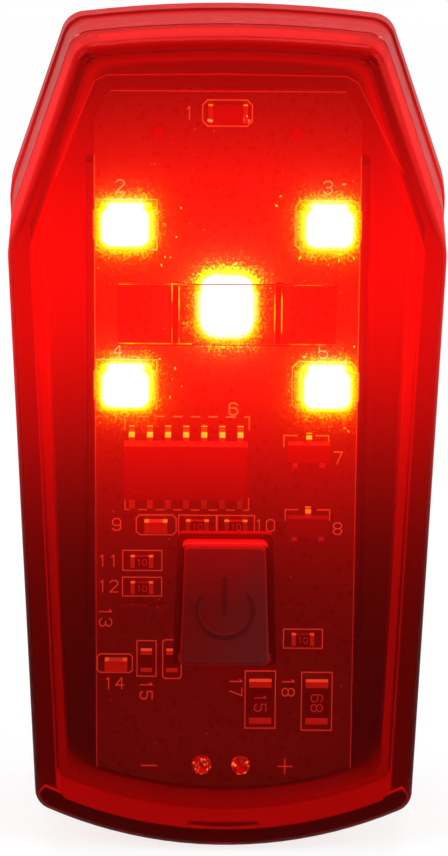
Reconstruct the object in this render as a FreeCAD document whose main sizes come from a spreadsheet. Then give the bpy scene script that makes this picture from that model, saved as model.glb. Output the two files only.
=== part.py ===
import FreeCAD, Part
import math
import os
import Sketcher
from FreeCAD import Placement, Rotation, Vector

# A bike tail light with a clip, in millimetres.
# The row frame: X to the right, Z up, and the lens looks along -Y. The origin lies on the
# flat rear face of the housing, where a strap or a bag loop goes in behind the clip.
# Heights, written as "height" below, are measured from that rear face towards the front.

doc = FreeCAD.newDocument("tail_light")
sheet = doc.addObject("Spreadsheet::Sheet", "Sizes")

SIZES = {
    # housing, seen from the front, at its front face
    "total_depth": 17.0,
    "front_top_half": 10.0,
    "front_top_height": 26.0,
    "front_top_rise": 0.6,
    "front_shoulder_half": 14.76,
    "front_shoulder_height": 12.4,
    "front_base_half": 13.2,
    "front_base_depth": 27.6,
    "front_base_drop": 3.1,
    # how far the side faces lean out from the front face to the rear face
    "slant_lean": 1.23,
    "side_lean": 0.6,
    "top_corner_radius": 1.8,
    "shoulder_radius": 5.0,
    "base_corner_radius": 1.5,
    "inner_corner_bevel": 0.6,
    # lens cup
    "lens_wall": 1.5,
    "base_thinning": 0.5,
    "front_wall": 1.6,
    "front_edge_radius": 0.75,
    "optic_half_length": 7.4,
    "optic_half_height": 2.12,
    "optic_place": 7.6,
    "optic_depth": 0.35,
    "optic_rib_offset": 3.6,
    "optic_rib_width": 0.55,
    "optic_rib_depth": 0.9,
    "gate_half_width": 2.55,
    "gate_length": 2.4,
    "gate_setback": 1.1,
    "gate_depth": 0.35,
    # how far a tool reaches past the face that it cuts, and a stub into what carries it
    "overrun": 0.2,
    # rear shell and the seam
    "seam_height": 10.0,
    "seal_thickness": 0.5,
    "seal_inset": 0.2,
    "tongue_rise": 2.0,
    "tongue_thickness": 0.55,
    "fit_gap": 0.15,
    "shell_floor": 1.8,
    "rim_height": 3.2,
    "rim_proud": 0.2,
    "rear_edge_bevel": 0.45,
    # circuit board
    "board_half_width": 9.2,
    "board_top": 22.05,
    "board_bottom": 28.7,
    "board_bottom_radius": 27.1,
    "board_chamfer_width": 1.07,
    "board_chamfer_drop": 2.27,
    "board_thickness": 1.0,
    "board_height": 9.8,
    "peg_offset": 4.77,
    "peg_place": 19.07,
    "peg_radius": 0.45,
    "peg_rise": 0.3,
    "peg_clearance": 0.08,
    "post_radius": 1.3,
    "foot_post_offset": 7.4,
    "foot_post_place": -23.6,
    # light emitters
    "led_column": 7.0,
    "led_row": 5.7,
    "led_centre": 7.05,
    "led_length": 3.5,
    "led_width": 2.8,
    "led_rise": 1.9,
    "led_cup_depth": 0.9,
    "led_cup_length": 2.5,
    "led_cup_width": 2.1,
    "led_cup_taper": 0.3,
    "led_contact_width": 2.0,
    "led_contact_length": 0.5,
    "led_contact_rise": 0.5,
    "indicator_place": 20.5,
    "indicator_length": 2.7,
    "indicator_width": 1.2,
    "indicator_rise": 1.1,
    "indicator_end_rise": 0.66,
    # controller chip
    "chip_place_x": -2.79,
    "chip_place_z": -4.65,
    "chip_length": 8.65,
    "chip_width": 3.9,
    "chip_rise": 1.5,
    "chip_standoff": 0.15,
    "chip_pitch": 1.27,
    "chip_pin_width": 0.41,
    "chip_pin_span": 6.0,
    "chip_mark_radius": 0.4,
    "chip_mark_inset": 0.9,
    "chip_mark_depth": 0.1,
    "lead_thickness": 0.2,
    "lead_foot": 0.6,
    "lead_level": 0.7,
    # transistors
    "transistor_place_x": 5.84,
    "transistor_upper_z": -3.35,
    "transistor_lower_z": -8.75,
    "transistor_length": 2.9,
    "transistor_width": 1.3,
    "transistor_rise": 1.0,
    "transistor_pitch": 0.95,
    "transistor_lead_width": 0.4,
    "transistor_span": 2.5,
    "transistor_standoff": 0.075,
    "transistor_lead_level": 0.49,
    "transistor_lead_thickness": 0.15,
    "transistor_foot": 0.3,
    # small and large chips of resistors and capacitors
    "small_length": 1.6,
    "small_width": 0.8,
    "small_rise": 0.5,
    "small_cap": 0.3,
    "capacitor_rise": 0.8,
    "cap_proud": 0.04,
    "large_length": 3.2,
    "large_width": 1.6,
    "large_rise": 0.6,
    "large_cap": 0.45,
    "row_under_chip": -8.9,
    "row_left_upper": -11.55,
    "row_left_lower": -13.5,
    "row_lower": -18.95,
    "row_right": -17.3,
    "row_large": -22.0,
    "row_corner": -19.25,
    "column_left": -5.9,
    "column_corner": -7.75,
    "column_third": -5.58,
    "column_fourth": -3.75,
    "column_first": -4.9,
    "column_under_left": -1.97,
    "column_under_right": 0.75,
    "column_right": 5.6,
    "column_large_left": 2.6,
    "column_large_right": 6.65,
    "sensor_place_x": -6.5,
    "sensor_place_z": -15.8,
    "sensor_side": 2.0,
    "sensor_rise": 0.8,
    # push switch and power button
    "button_place": -12.62,
    "button_height": 8.55,
    "button_top_half": 2.8,
    "button_base_half": 3.12,
    "button_corner": 0.45,
    "button_rim_bevel": 0.15,
    "button_proud": 0.4,
    "button_clearance": 0.12,
    "button_travel": 0.3,
    "button_lip": 0.5,
    "button_lip_thickness": 0.7,
    "button_rest_gap": 0.05,
    "stem_radius": 1.6,
    "switch_side": 5.2,
    "switch_rise": 1.6,
    "switch_standoff": 0.05,
    "switch_leg_pitch": 3.7,
    "switch_leg_width": 0.7,
    "switch_leg_span": 6.75,
    "switch_leg_level": 0.56,
    "switch_leg_foot": 0.36,
    "plunger_radius": 1.25,
    "plunger_clearance": 0.1,
    "plunger_rise": 3.9,
    "plunger_depth": 0.9,
    # battery leads, solder, socket
    "minus_joint": -1.6,
    "plus_joint": 1.23,
    "joint_place": -27.0,
    "joint_radius": 0.72,
    "joint_tip_radius": 0.32,
    "joint_rise": 1.0,
    "strip_width": 0.8,
    "strip_thickness": 0.3,
    "strip_pin": 0.6,
    "strip_offset": 1.6,
    "lead_hole_radius": 0.5,
    "port_place": -23.8,
    "socket_length": 7.5,
    "socket_width": 2.7,
    "socket_wall": 0.3,
    "socket_floor_gap": 0.3,
    "socket_tongue_length": 4.1,
    "socket_tongue_thickness": 0.6,
    "socket_tongue_setback": 0.5,
    "socket_tongue_offset": 0.45,
    "port_clearance": 0.35,
    # battery
    "cell_half_width": 10.0,
    "cell_top": 16.4,
    "cell_bottom": -18.4,
    "cell_thickness": 4.6,
    "cell_edge_radius": 1.2,
    "pad_thickness": 0.5,
    "tape_width": 12.0,
    "tape_length": 27.8,
    "cushion_width": 10.0,
    "cushion_length": 20.9,
    "guard_half_width": 7.0,
    "guard_length": 2.0,
    "guard_thickness": 0.8,
    # port cover
    "cover_half_length": 5.4,
    "cover_top": -21.8,
    "cover_thickness": 1.1,
    "cover_gap": 0.2,
    "cover_rest_gap": 0.05,
    "cover_hinge_place": -26.95,
    "cover_foot_length": 1.0,
    "cover_foot_gap": 0.25,
    "cover_plug_depth": 0.8,
    "cover_plug_clearance": 0.35,
    "cover_tab_proud": 0.45,
    "cover_tab_length": 0.9,
    # clip
    "pin_place": 17.0,
    "pin_standoff": 3.0,
    "pin_radius": 0.9,
    "pin_seat_clearance": 0.02,
    "pin_running_clearance": 0.06,
    "pin_head_radius": 1.5,
    "pin_head_length": 0.6,
    "ear_thickness": 2.2,
    "ear_radius": 2.3,
    "ear_root": 3.8,
    "side_clearance": 0.2,
    "knuckle_thickness": 2.4,
    "knuckle_radius": 2.1,
    "knuckle_root": 0.3,
    "arm_half_width": 7.6,
    "arm_tip_half_width": 6.4,
    "arm_standoff": 4.4,
    "arm_thickness": 1.8,
    "arm_top": 25.2,
    "arm_bend": -12.6,
    "arm_contact": -18.0,
    "arm_tip": -20.6,
    "arm_tip_lift": 1.3,
    "arm_contact_gap": 0.35,
    "arm_bend_setback": 0.4,
    "arm_contact_setback": 0.2,
    "arm_contact_swell": 0.3,
    "arm_taper_start": 6.0,
    "arm_trim": 0.01,
    "arm_inner_bend_radius": 3.0,
    "arm_outer_bend_radius": 4.5,
    "arm_contact_radius": 1.2,
    "arm_corner_radius": 3.0,
    "arm_window_half_width": 3.7,
    "arm_window_half_height": 2.7,
    "grip_pitch": 1.5,
    "grip_width": 0.6,
    "grip_depth": 0.4,
    "grip_start": 20.6,
    "recess_half_width": 4.4,
    "recess_top": 11.5,
    "recess_bottom": -10.5,
    "recess_depth": 0.5,
    # clip spring
    "wire_radius": 0.28,
    "coil_radius": 1.42,
    "coil_pitch": 1.1,
    "coil_turns": 1.0,
    "spring_leg": 6.2,
    "spring_bearing": 2.9,
    "spring_seat_gap": 0.08,
}

for row, (alias, value) in enumerate(SIZES.items(), 1):
    sheet.set(f"A{row}", alias.replace("_", " "))
    sheet.set(f"B{row}", str(value))
    sheet.setAlias(f"B{row}", alias)
doc.recompute()


class Formula:
    """A number together with the spreadsheet formula that gives it."""

    def __init__(self, value, text):
        self.value = value
        self.text = text

    def __add__(self, other):
        other = formula(other)
        return Formula(self.value + other.value, f"({self.text} + {other.text})")

    def __radd__(self, other):
        return formula(other) + self

    def __sub__(self, other):
        other = formula(other)
        return Formula(self.value - other.value, f"({self.text} - {other.text})")

    def __rsub__(self, other):
        return formula(other) - self

    def __mul__(self, other):
        other = formula(other)
        return Formula(self.value * other.value, f"({self.text} * {other.text})")

    def __rmul__(self, other):
        return formula(other) * self

    def __truediv__(self, other):
        other = formula(other)
        return Formula(self.value / other.value, f"({self.text} / {other.text})")

    def __neg__(self):
        return Formula(-self.value, f"(0 - {self.text})")

    def root(self):
        return Formula(math.sqrt(self.value), f"sqrt({self.text})")

    def angle(self):
        """The angle in degrees whose slope this number is."""
        return Formula(math.degrees(math.atan(self.value)), f"atan({self.text})")


def formula(number):
    """A plain number or a formula, as a formula."""
    if isinstance(number, Formula):
        return number
    return Formula(float(number), repr(float(number)))


class Cells:
    """Every driving dimension, as a formula that names its cell."""


size = Cells()
for alias in SIZES:
    setattr(size, alias, Formula(float(sheet.get(alias)), f"Sizes.{alias}"))


derived = []


def derive(alias, number):
    """Keep a worked-out size in a cell of its own and give it back by that cell's name."""
    number = formula(number)
    derived.append(alias)
    row = len(SIZES) + len(derived)
    sheet.set(f"A{row}", alias.replace("_", " "))
    sheet.set(f"B{row}", "=" + number.text.replace("Sizes.", ""))
    sheet.setAlias(f"B{row}", alias)
    return Formula(number.value, f"Sizes.{alias}")


def bind(obj, path, number):
    """Bind one property to its formula."""
    obj.setExpression(path, formula(number).text)


def place(obj, x=0, y=0, z=0):
    """Bind where an object lies, keeping its rotation."""
    for axis, number in (("x", x), ("y", y), ("z", z)):
        bind(obj, f"Placement.Base.{axis}", number)


# Sketches

def plane_of(body, role):
    return [item for item in body.Origin.OriginFeatures if item.Role == role][0]


def sketch_in(body, name, role, offset=0):
    """A sketch on one of a body's own planes, lifted along the plane's normal."""
    sketch = body.newObject("Sketcher::SketchObject", name)
    sketch.AttachmentSupport = [(plane_of(body, role), "")]
    sketch.MapMode = "FlatFace"
    bind(sketch, "AttachmentOffset.Base.z", offset)
    return sketch


def pin_down(sketch, geometry, end, name, across, up):
    """Hold a sketched point at its distances from the sketch's origin."""
    for kind, number, suffix in (("DistanceX", across, "x"), ("DistanceY", up, "z")):
        number = formula(number)
        index = sketch.addConstraint(Sketcher.Constraint(kind, -1, 1, geometry, end, number.value))
        sketch.renameConstraint(index, f"{name}_{suffix}")
        sketch.setExpression(f"Constraints.{name}_{suffix}", number.text)


def set_radius(sketch, geometry, name, radius):
    radius = formula(radius)
    index = sketch.addConstraint(Sketcher.Constraint("Radius", geometry, radius.value))
    sketch.renameConstraint(index, name)
    sketch.setExpression(f"Constraints.{name}", radius.text)


def draw_loop(sketch, name, points, arcs=None):
    """A closed loop through points; arcs maps a side's number to its middle point and radius."""
    arcs = arcs or {}
    spots = [Vector(formula(a).value, formula(b).value, 0) for a, b in points]
    first = sketch.GeometryCount
    count = len(points)
    ends = []
    for side in range(count):
        start = spots[side]
        end = spots[(side + 1) % count]
        if side in arcs:
            middle, radius = arcs[side]
            middle = Vector(formula(middle[0]).value, formula(middle[1]).value, 0)
            forward = (middle - start).cross(end - middle).z > 0
            if forward:
                sketch.addGeometry(Part.Arc(start, middle, end))
                ends.append((1, 2))
            else:
                sketch.addGeometry(Part.Arc(end, middle, start))
                ends.append((2, 1))
        else:
            sketch.addGeometry(Part.LineSegment(start, end))
            ends.append((1, 2))
    for side in range(count):
        after = (side + 1) % count
        sketch.addConstraint(Sketcher.Constraint(
            "Coincident", first + side, ends[side][1], first + after, ends[after][0]))
    for side, (across, up) in enumerate(points):
        pin_down(sketch, first + side, ends[side][0], f"{name}_{side}", across, up)
    for side, (middle, radius) in arcs.items():
        set_radius(sketch, first + side, f"{name}_arc_{side}", radius)


def draw_circle(sketch, name, across, up, radius):
    centre = Vector(formula(across).value, formula(up).value, 0)
    index = sketch.addGeometry(Part.Circle(centre, Vector(0, 0, 1), formula(radius).value))
    pin_down(sketch, index, 3, name, across, up)
    set_radius(sketch, index, f"{name}_radius", radius)


def draw_box(sketch, name, left, right, low, high):
    draw_loop(sketch, name, [(left, low), (right, low), (right, high), (left, high)])


# the share of a radius at an eighth of a turn
EIGHTH = math.sqrt(0.5)
# how near two places or volumes count as the same
TOLERANCE = 1e-4
# the least share of its own length that a drafted corner edge runs along the depth
DEEP_SHARE = 0.75
CHIP_LEADS_PER_SIDE = 7
GRIP_GROOVES = 3
SPRING_SAMPLES = 400


# Edges

def middle_of(edge):
    return edge.valueAt((edge.FirstParameter + edge.LastParameter) / 2)


def reach_of(edge):
    return edge.Vertexes[-1].Point - edge.Vertexes[0].Point


def at_height(height):
    """Choose the edges that lie wholly at one height."""
    height = formula(height).value
    return lambda edge: all(abs(v.Point.y + height) < TOLERANCE for v in edge.Vertexes)


# Features of a body

def new_body(name):
    body = doc.addObject("PartDesign::Body", name)
    body.Label = name
    return body


def pad(body, name, sketch, length, backwards=False, both_ways=False):
    feature = body.newObject("PartDesign::Pad", name)
    feature.Profile = sketch
    feature.Reversed = backwards
    feature.Midplane = both_ways
    bind(feature, "Length", length)
    return feature


def pocket(body, name, sketch, length, backwards=False, both_ways=False):
    """Cut a pocket and stop if it took nothing away."""
    doc.recompute()
    before = body.Shape.Volume
    feature = body.newObject("PartDesign::Pocket", name)
    feature.Profile = sketch
    feature.Reversed = backwards
    feature.Midplane = both_ways
    bind(feature, "Length", length)
    doc.recompute()
    if not feature.Shape.Volume < before - TOLERANCE:
        raise RuntimeError(f"{name} cuts nothing")
    return feature


def round_edges(body, name, chosen, radius):
    """Fillet the edges of the body's tip that the test chooses."""
    doc.recompute()
    tip = body.Tip
    names = [f"Edge{i}" for i, edge in enumerate(tip.Shape.Edges, 1) if chosen(edge)]
    if not names:
        raise RuntimeError(f"{name} finds no edge")
    feature = body.newObject("PartDesign::Fillet", name)
    feature.Base = (tip, names)
    bind(feature, "Radius", radius)
    doc.recompute()
    return feature


def bevel_edges(body, name, chosen, reach):
    """Chamfer the edges of the body's tip that the test chooses."""
    doc.recompute()
    tip = body.Tip
    names = [f"Edge{i}" for i, edge in enumerate(tip.Shape.Edges, 1) if chosen(edge)]
    if not names:
        raise RuntimeError(f"{name} finds no edge")
    feature = body.newObject("PartDesign::Chamfer", name)
    feature.Base = (tip, names)
    bind(feature, "Size", reach)
    doc.recompute()
    return feature


def hollow(body, name, core):
    """Take a core body's form out of a body."""
    doc.recompute()
    before = body.Shape.Volume
    feature = body.newObject("PartDesign::Boolean", name)
    feature.setObjects([core])
    feature.Type = "Cut"
    doc.recompute()
    if not feature.Shape.Volume < before - TOLERANCE:
        raise RuntimeError(f"{name} takes nothing out")
    return feature


def mirror(body, name, feature, role="YZ_Plane"):
    result = body.newObject("PartDesign::Mirrored", name)
    result.Originals = [feature]
    result.MirrorPlane = (plane_of(body, role), [""])
    body.Tip = result
    return result


# Plain solids

def block(name, middle_x, low_height, middle_z, long_x, rise, long_z):
    """A box centred in X and Z, standing on a height above the rear face."""
    box = doc.addObject("Part::Box", name)
    bind(box, "Length", long_x)
    bind(box, "Width", rise)
    bind(box, "Height", long_z)
    place(box, middle_x - formula(long_x) / 2, -(formula(low_height) + rise),
          middle_z - formula(long_z) / 2)
    return box


def post(name, x, low_height, z, radius, rise):
    """A round post that stands along the depth of the light."""
    cylinder = doc.addObject("Part::Cylinder", name)
    cylinder.Placement = Placement(Vector(), Rotation(Vector(1, 0, 0), 90))
    bind(cylinder, "Radius", radius)
    bind(cylinder, "Height", rise)
    place(cylinder, x, -formula(low_height), z)
    return cylinder


def cut(name, base, tool):
    result = doc.addObject("Part::Cut", name)
    result.Base = base
    result.Tool = tool
    return result


def fuse(name, shapes):
    result = doc.addObject("Part::MultiFuse", name)
    result.Shapes = shapes
    return result


def group(name, shapes):
    """Several separate solids kept under one name."""
    result = doc.addObject("Part::Compound", name)
    result.Links = shapes
    return result


SUB_PARTS = []


def finish(obj, name):
    """Give a finished sub-part its name and put it on the list."""
    obj.Label = name
    SUB_PARTS.append(obj)
    return obj


# The housing's form: an arched top and base, slanted upper sides and tapering lower sides.
# The side faces are flat and lean in towards the front; a face's level is its distance from
# the depth axis, measured square to its line at the front.

slant_across = size.front_shoulder_half - size.front_top_half
slant_down = size.front_top_height - size.front_shoulder_height
slant_length = (slant_across * slant_across + slant_down * slant_down).root()
slant_x = derive("slant_x", slant_down / slant_length)
slant_z = derive("slant_z", slant_across / slant_length)
slant_level = derive("slant_level", slant_x * size.front_shoulder_half
                     + slant_z * size.front_shoulder_height)
side_across = size.front_shoulder_half - size.front_base_half
side_down = size.front_shoulder_height + size.front_base_depth
side_length = (side_across * side_across + side_down * side_down).root()
side_x = derive("side_x", side_down / side_length)
side_z = derive("side_z", -(side_across / side_length))
side_level = derive("side_level", side_x * size.front_shoulder_half
                    + side_z * size.front_shoulder_height)
shoulder_turn = derive("shoulder_turn", slant_x * side_z - slant_z * side_x)


def arch_radius(half_width, rise):
    return (half_width * half_width + rise * rise) / (2 * rise)


top_radius = derive("top_radius", arch_radius(size.front_top_half, size.front_top_rise))
top_middle = derive("top_middle", size.front_top_height + size.front_top_rise - top_radius)
base_radius = derive("base_radius", arch_radius(size.front_base_half, size.front_base_drop))
base_middle = derive("base_middle", base_radius - size.front_base_depth - size.front_base_drop)


def level_at(level, lean, height, inset):
    """A side face's level at a height, set in from the outer face."""
    return level + lean * (1 - formula(height) / size.total_depth) - inset


def slant_at(height, inset):
    return level_at(slant_level, size.slant_lean, height, inset)


def side_at(height, inset):
    return level_at(side_level, size.side_lean, height, inset)


def draw_outline(sketch, name, height, inset, base_inset=None):
    """Draw the housing's outline at a height, set in from its outer face."""
    cell = f"{sketch.Name}_{name}"
    inset = formula(inset)
    base_inset = inset if base_inset is None else base_inset
    slant = derive(f"{cell}_slant", slant_at(height, inset))
    side = derive(f"{cell}_side", side_at(height, inset))
    high_radius = derive(f"{cell}_high_radius", top_radius - inset)
    low_radius = derive(f"{cell}_low_radius", base_radius - base_inset)
    reach = derive(f"{cell}_top_reach", slant - slant_z * top_middle)
    chord = derive(f"{cell}_top_chord", (high_radius * high_radius - reach * reach).root())
    top_x = derive(f"{cell}_top_x", slant_x * reach - slant_z * chord)
    top_z = derive(f"{cell}_top_z", top_middle + slant_z * reach + slant_x * chord)
    shoulder_x = derive(f"{cell}_shoulder_x", (slant * side_z - side * slant_z) / shoulder_turn)
    shoulder_z = derive(f"{cell}_shoulder_z", (slant_x * side - side_x * slant) / shoulder_turn)
    reach = derive(f"{cell}_base_reach", side - side_z * base_middle)
    chord = derive(f"{cell}_base_chord", (low_radius * low_radius - reach * reach).root())
    base_x = derive(f"{cell}_base_x", side_x * reach + side_z * chord)
    base_z = derive(f"{cell}_base_z", base_middle + side_z * reach - side_x * chord)
    doc.recompute()
    points = [(-top_x, top_z), (top_x, top_z), (shoulder_x, shoulder_z), (base_x, base_z),
              (-base_x, base_z), (-shoulder_x, shoulder_z)]
    arcs = {0: ((0, top_middle + high_radius), high_radius),
            3: ((0, base_middle - low_radius), low_radius)}
    draw_loop(sketch, name, points, arcs)


def lean_faces(body, name, low, high, inset, axis, slope, level):
    """Cut a pair of side faces flat, so that they lean in towards the front."""
    sketch = sketch_in(body, f"{name}_sketch", "XY_Plane")
    sketch.AttachmentOffset = Placement(Vector(), Rotation(axis, slope.angle().value))
    bind(sketch, "AttachmentOffset.Rotation.Angle", slope.angle())
    low_level = level(low, inset)
    clear = low_level + size.total_depth
    draw_loop(sketch, "wedge", [(low_level, -formula(low)), (level(high, inset), -formula(high)),
                                (clear, -formula(high)), (clear, -formula(low))])
    feature = body.newObject("PartDesign::Pocket", name)
    feature.Profile = sketch
    feature.Type = "ThroughAll"
    feature.Midplane = True
    return mirror(body, f"{name}_pair", feature)


def corner_test(row, low, high):
    """Choose the deep edges of one pair of corners: top, shoulder or base."""
    split = (size.front_top_height.value + size.front_shoulder_height.value) / 2

    def chosen(edge):
        middle = middle_of(edge)
        deep = abs(reach_of(edge).y)
        found = "top" if middle.z > split else "base" if middle.z < 0 else "shoulder"
        return deep > max(DEEP_SHARE * edge.Length, 1.0) and low < -middle.y < high and found == row
    return chosen


def add_form(body, name, low, high, inset, base_inset):
    """Add the housing's form between two heights, with its side faces drafted."""
    outline = sketch_in(body, f"{name}_outline", "XZ_Plane", low)
    draw_outline(outline, "rim", low, inset, base_inset)
    pad(body, f"{name}_blank", outline, formula(high) - low)
    lean_faces(body, f"{name}_sides", low, high, inset, Vector(0, 1, 0),
               side_across / side_down, side_at)
    lean_faces(body, f"{name}_slants", low, high, inset, Vector(0, -1, 0),
               slant_across / slant_down, slant_at)


def add_outer_form(body, name, low, high, inset):
    """A drafted form with the outer corners' radii."""
    add_form(body, name, low, high, inset, inset)
    for row, radius in (("shoulder", size.shoulder_radius), ("top", size.top_corner_radius),
                        ("base", size.base_corner_radius)):
        round_edges(body, f"{name}_{row}_corners",
                    corner_test(row, formula(low).value, formula(high).value), radius)


def core_form(name, low, high, inset, base_inset):
    """A body of the form that is taken out of the housing, for a wall of a given thickness."""
    core = new_body(name)
    add_form(core, name, low, high, inset, base_inset)
    ends = (formula(low).value, formula(high).value)
    round_edges(core, f"{name}_shoulder_corners", corner_test("shoulder", *ends),
                size.shoulder_radius - inset)
    for row in ("top", "base"):
        bevel_edges(core, f"{name}_{row}_corners", corner_test(row, *ends),
                    size.inner_corner_bevel)
    return core


lens_base_wall = size.lens_wall - size.base_thinning
shell_wall = size.lens_wall + size.fit_gap + size.tongue_thickness
shell_base_wall = shell_wall - size.base_thinning
lens_edge = size.seam_height + size.seal_thickness
front_inside = size.total_depth - size.front_wall
board_back = size.board_height - size.board_thickness
button_low = size.button_place - size.button_height / 2
button_high = size.button_place + size.button_height / 2


def button_outline(sketch, name, grow):
    """The button's outline: a little wider at its foot than at its top."""
    grow = formula(grow)
    draw_loop(sketch, name, [
        (-(size.button_base_half + grow), button_low - grow),
        (size.button_base_half + grow, button_low - grow),
        (size.button_top_half + grow, button_high + grow),
        (-(size.button_top_half + grow), button_high + grow)])


def button_corners(low, high):
    """Choose the deep corner edges round the button."""
    low = formula(low).value
    high = formula(high).value
    half_x = (size.button_base_half + 2 * size.button_lip).value
    half_z = (size.button_height / 2 + 2 * size.button_lip).value

    def chosen(edge):
        middle = middle_of(edge)
        near = abs(middle.x) < half_x and abs(middle.z - size.button_place.value) < half_z
        straight = len(edge.Vertexes) == 2 and abs(reach_of(edge).y) > edge.Length - TOLERANCE
        return near and straight and low < -middle.y < high
    return chosen


def make_lens_cup():
    """The clear red cup: drafted walls, a rounded front rim, the button's hole and the optic."""
    body = new_body("lens_cup")
    add_outer_form(body, "lens_outer", lens_edge, size.total_depth, 0)
    round_edges(body, "lens_front_rim", at_height(size.total_depth), size.front_edge_radius)
    hollow(body, "lens_hollow", core_form("lens_core", lens_edge, front_inside, size.lens_wall,
                                          lens_base_wall))
    base = size.front_base_depth + size.front_base_drop
    gate = sketch_in(body, "gate_sketch", "XY_Plane", -(base + size.overrun))
    draw_box(gate, "gate", -size.gate_half_width, size.gate_half_width,
             -(size.total_depth - size.gate_setback),
             -(size.total_depth - size.gate_setback - size.gate_length))
    pocket(body, "gate_recess", gate, size.gate_depth + size.overrun, backwards=True)
    bar = sketch_in(body, "optic_bar_sketch", "XZ_Plane", front_inside)
    draw_box(bar, "bar", -size.optic_half_length, size.optic_half_length,
             size.optic_place - size.optic_half_height, size.optic_place + size.optic_half_height)
    pad(body, "optic_bar", bar, size.optic_depth, backwards=True)
    rib = sketch_in(body, "optic_rib_sketch", "XZ_Plane", front_inside)
    draw_box(rib, "rib", size.optic_rib_offset - size.optic_rib_width / 2,
             size.optic_rib_offset + size.optic_rib_width / 2,
             size.optic_place - size.optic_half_height, size.optic_place + size.optic_half_height)
    rib_pad = pad(body, "optic_rib", rib, size.optic_rib_depth, backwards=True)
    mirror(body, "optic_ribs", rib_pad)
    hole = sketch_in(body, "button_hole_sketch", "XZ_Plane", size.total_depth)
    button_outline(hole, "hole", size.button_clearance)
    pocket(body, "button_hole", hole, size.front_wall + size.optic_rib_depth)
    round_edges(body, "button_hole_corners", button_corners(0, size.total_depth),
                size.button_corner)
    finish(body, "lens_cup")


def ear_profile(sketch, name, root, tip, half_root, radius):
    """A tab in side view: a wide root that runs into a round end about the pin."""
    swing = 1 if formula(tip).value > formula(root).value else -1
    draw_loop(sketch, name, [
        (root, size.pin_place - half_root), (tip, size.pin_place - radius),
        (tip + swing * radius, size.pin_place),
        (tip, size.pin_place + radius), (root, size.pin_place + half_root)],
        {1: ((tip + swing * radius * EIGHTH, size.pin_place - radius * EIGHTH), radius),
         2: ((tip + swing * radius * EIGHTH, size.pin_place + radius * EIGHTH), radius)})


def make_rear_shell():
    """The red rear half: floor, drafted walls, sealing tongue, board posts and clip ears."""
    body = new_body("rear_shell")
    tongue_tip = size.seam_height + size.tongue_rise
    add_outer_form(body, "shell_outer", 0, tongue_tip, 0)
    add_outer_form(body, "rear_rim", 0, size.rim_height, -size.rim_proud)
    bevel_edges(body, "rear_edge", at_height(0), size.rear_edge_bevel)
    hollow(body, "shell_hollow", core_form("shell_core", size.shell_floor, tongue_tip, shell_wall,
                                           shell_base_wall))
    step = sketch_in(body, "tongue_sketch", "XZ_Plane", tongue_tip)
    reach = size.front_shoulder_half + size.total_depth
    draw_box(step, "clear", -reach, reach, -(size.front_base_depth + size.total_depth),
             size.front_top_height + size.total_depth)
    draw_outline(step, "tongue", tongue_tip, size.lens_wall + size.fit_gap,
                 lens_base_wall + size.fit_gap)
    pocket(body, "tongue_step", step, size.tongue_rise)
    post_root = size.shell_floor - size.overrun
    for side, x in (("left", -size.peg_offset), ("right", size.peg_offset)):
        column = sketch_in(body, f"peg_post_sketch_{side}", "XZ_Plane", post_root)
        draw_circle(column, "post", x, size.peg_place, size.post_radius)
        pad(body, f"peg_post_{side}", column, board_back - post_root)
        peg = sketch_in(body, f"peg_sketch_{side}", "XZ_Plane", board_back - size.overrun)
        draw_circle(peg, "peg", x, size.peg_place, size.peg_radius)
        pad(body, f"peg_{side}", peg, size.board_thickness + size.peg_rise + size.overrun)
    for side, x in (("left", -size.foot_post_offset), ("right", size.foot_post_offset)):
        column = sketch_in(body, f"foot_post_sketch_{side}", "XZ_Plane", post_root)
        draw_circle(column, "post", x, size.foot_post_place, size.post_radius)
        pad(body, f"foot_post_{side}", column, board_back - post_root)
    recess = sketch_in(body, "cover_recess_sketch", "XZ_Plane", 0)
    draw_box(recess, "recess", -(size.cover_half_length + size.cover_gap),
             size.cover_half_length + size.cover_gap,
             foot_low - size.cover_gap, size.cover_top + size.cover_gap)
    pocket(body, "cover_recess", recess, size.cover_thickness + size.cover_rest_gap,
           backwards=True)
    port = sketch_in(body, "port_hole_sketch", "XZ_Plane", 0)
    draw_box(port, "port", -(size.socket_length / 2 + size.port_clearance),
             size.socket_length / 2 + size.port_clearance,
             size.port_place - size.socket_width / 2 - size.port_clearance,
             size.port_place + size.socket_width / 2 + size.port_clearance)
    pocket(body, "port_hole", port, size.shell_floor + size.overrun, backwards=True)
    ear_offset = size.arm_half_width + size.side_clearance
    ear = sketch_in(body, "ear_sketch", "YZ_Plane", ear_offset)
    ear_profile(ear, "ear", -size.overrun, size.pin_standoff, size.ear_root, size.ear_radius)
    ear_pad = pad(body, "ear", ear, size.ear_thickness)
    mirror(body, "ears", ear_pad)
    hole = sketch_in(body, "ear_hole_sketch", "YZ_Plane", 0)
    draw_circle(hole, "hole", size.pin_standoff, size.pin_place,
                size.pin_radius + size.pin_seat_clearance)
    pocket(body, "ear_holes", hole, 2 * (ear_offset + size.ear_thickness + size.overrun),
           both_ways=True)
    finish(body, "rear_shell")


foot_high = size.cover_hinge_place - size.cover_thickness / 2 - size.cover_foot_gap
foot_low = foot_high - size.cover_foot_length


def make_lens_seal():
    """The pale sealing ring that is squeezed in the seam."""
    body = new_body("lens_seal")
    ring = sketch_in(body, "seal_sketch", "XZ_Plane", size.seam_height)
    draw_outline(ring, "outer", size.seam_height, size.seal_inset)
    draw_outline(ring, "inner", size.seam_height, size.lens_wall, lens_base_wall)
    pad(body, "seal_ring", ring, size.seal_thickness)
    finish(body, "lens_seal")


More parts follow.
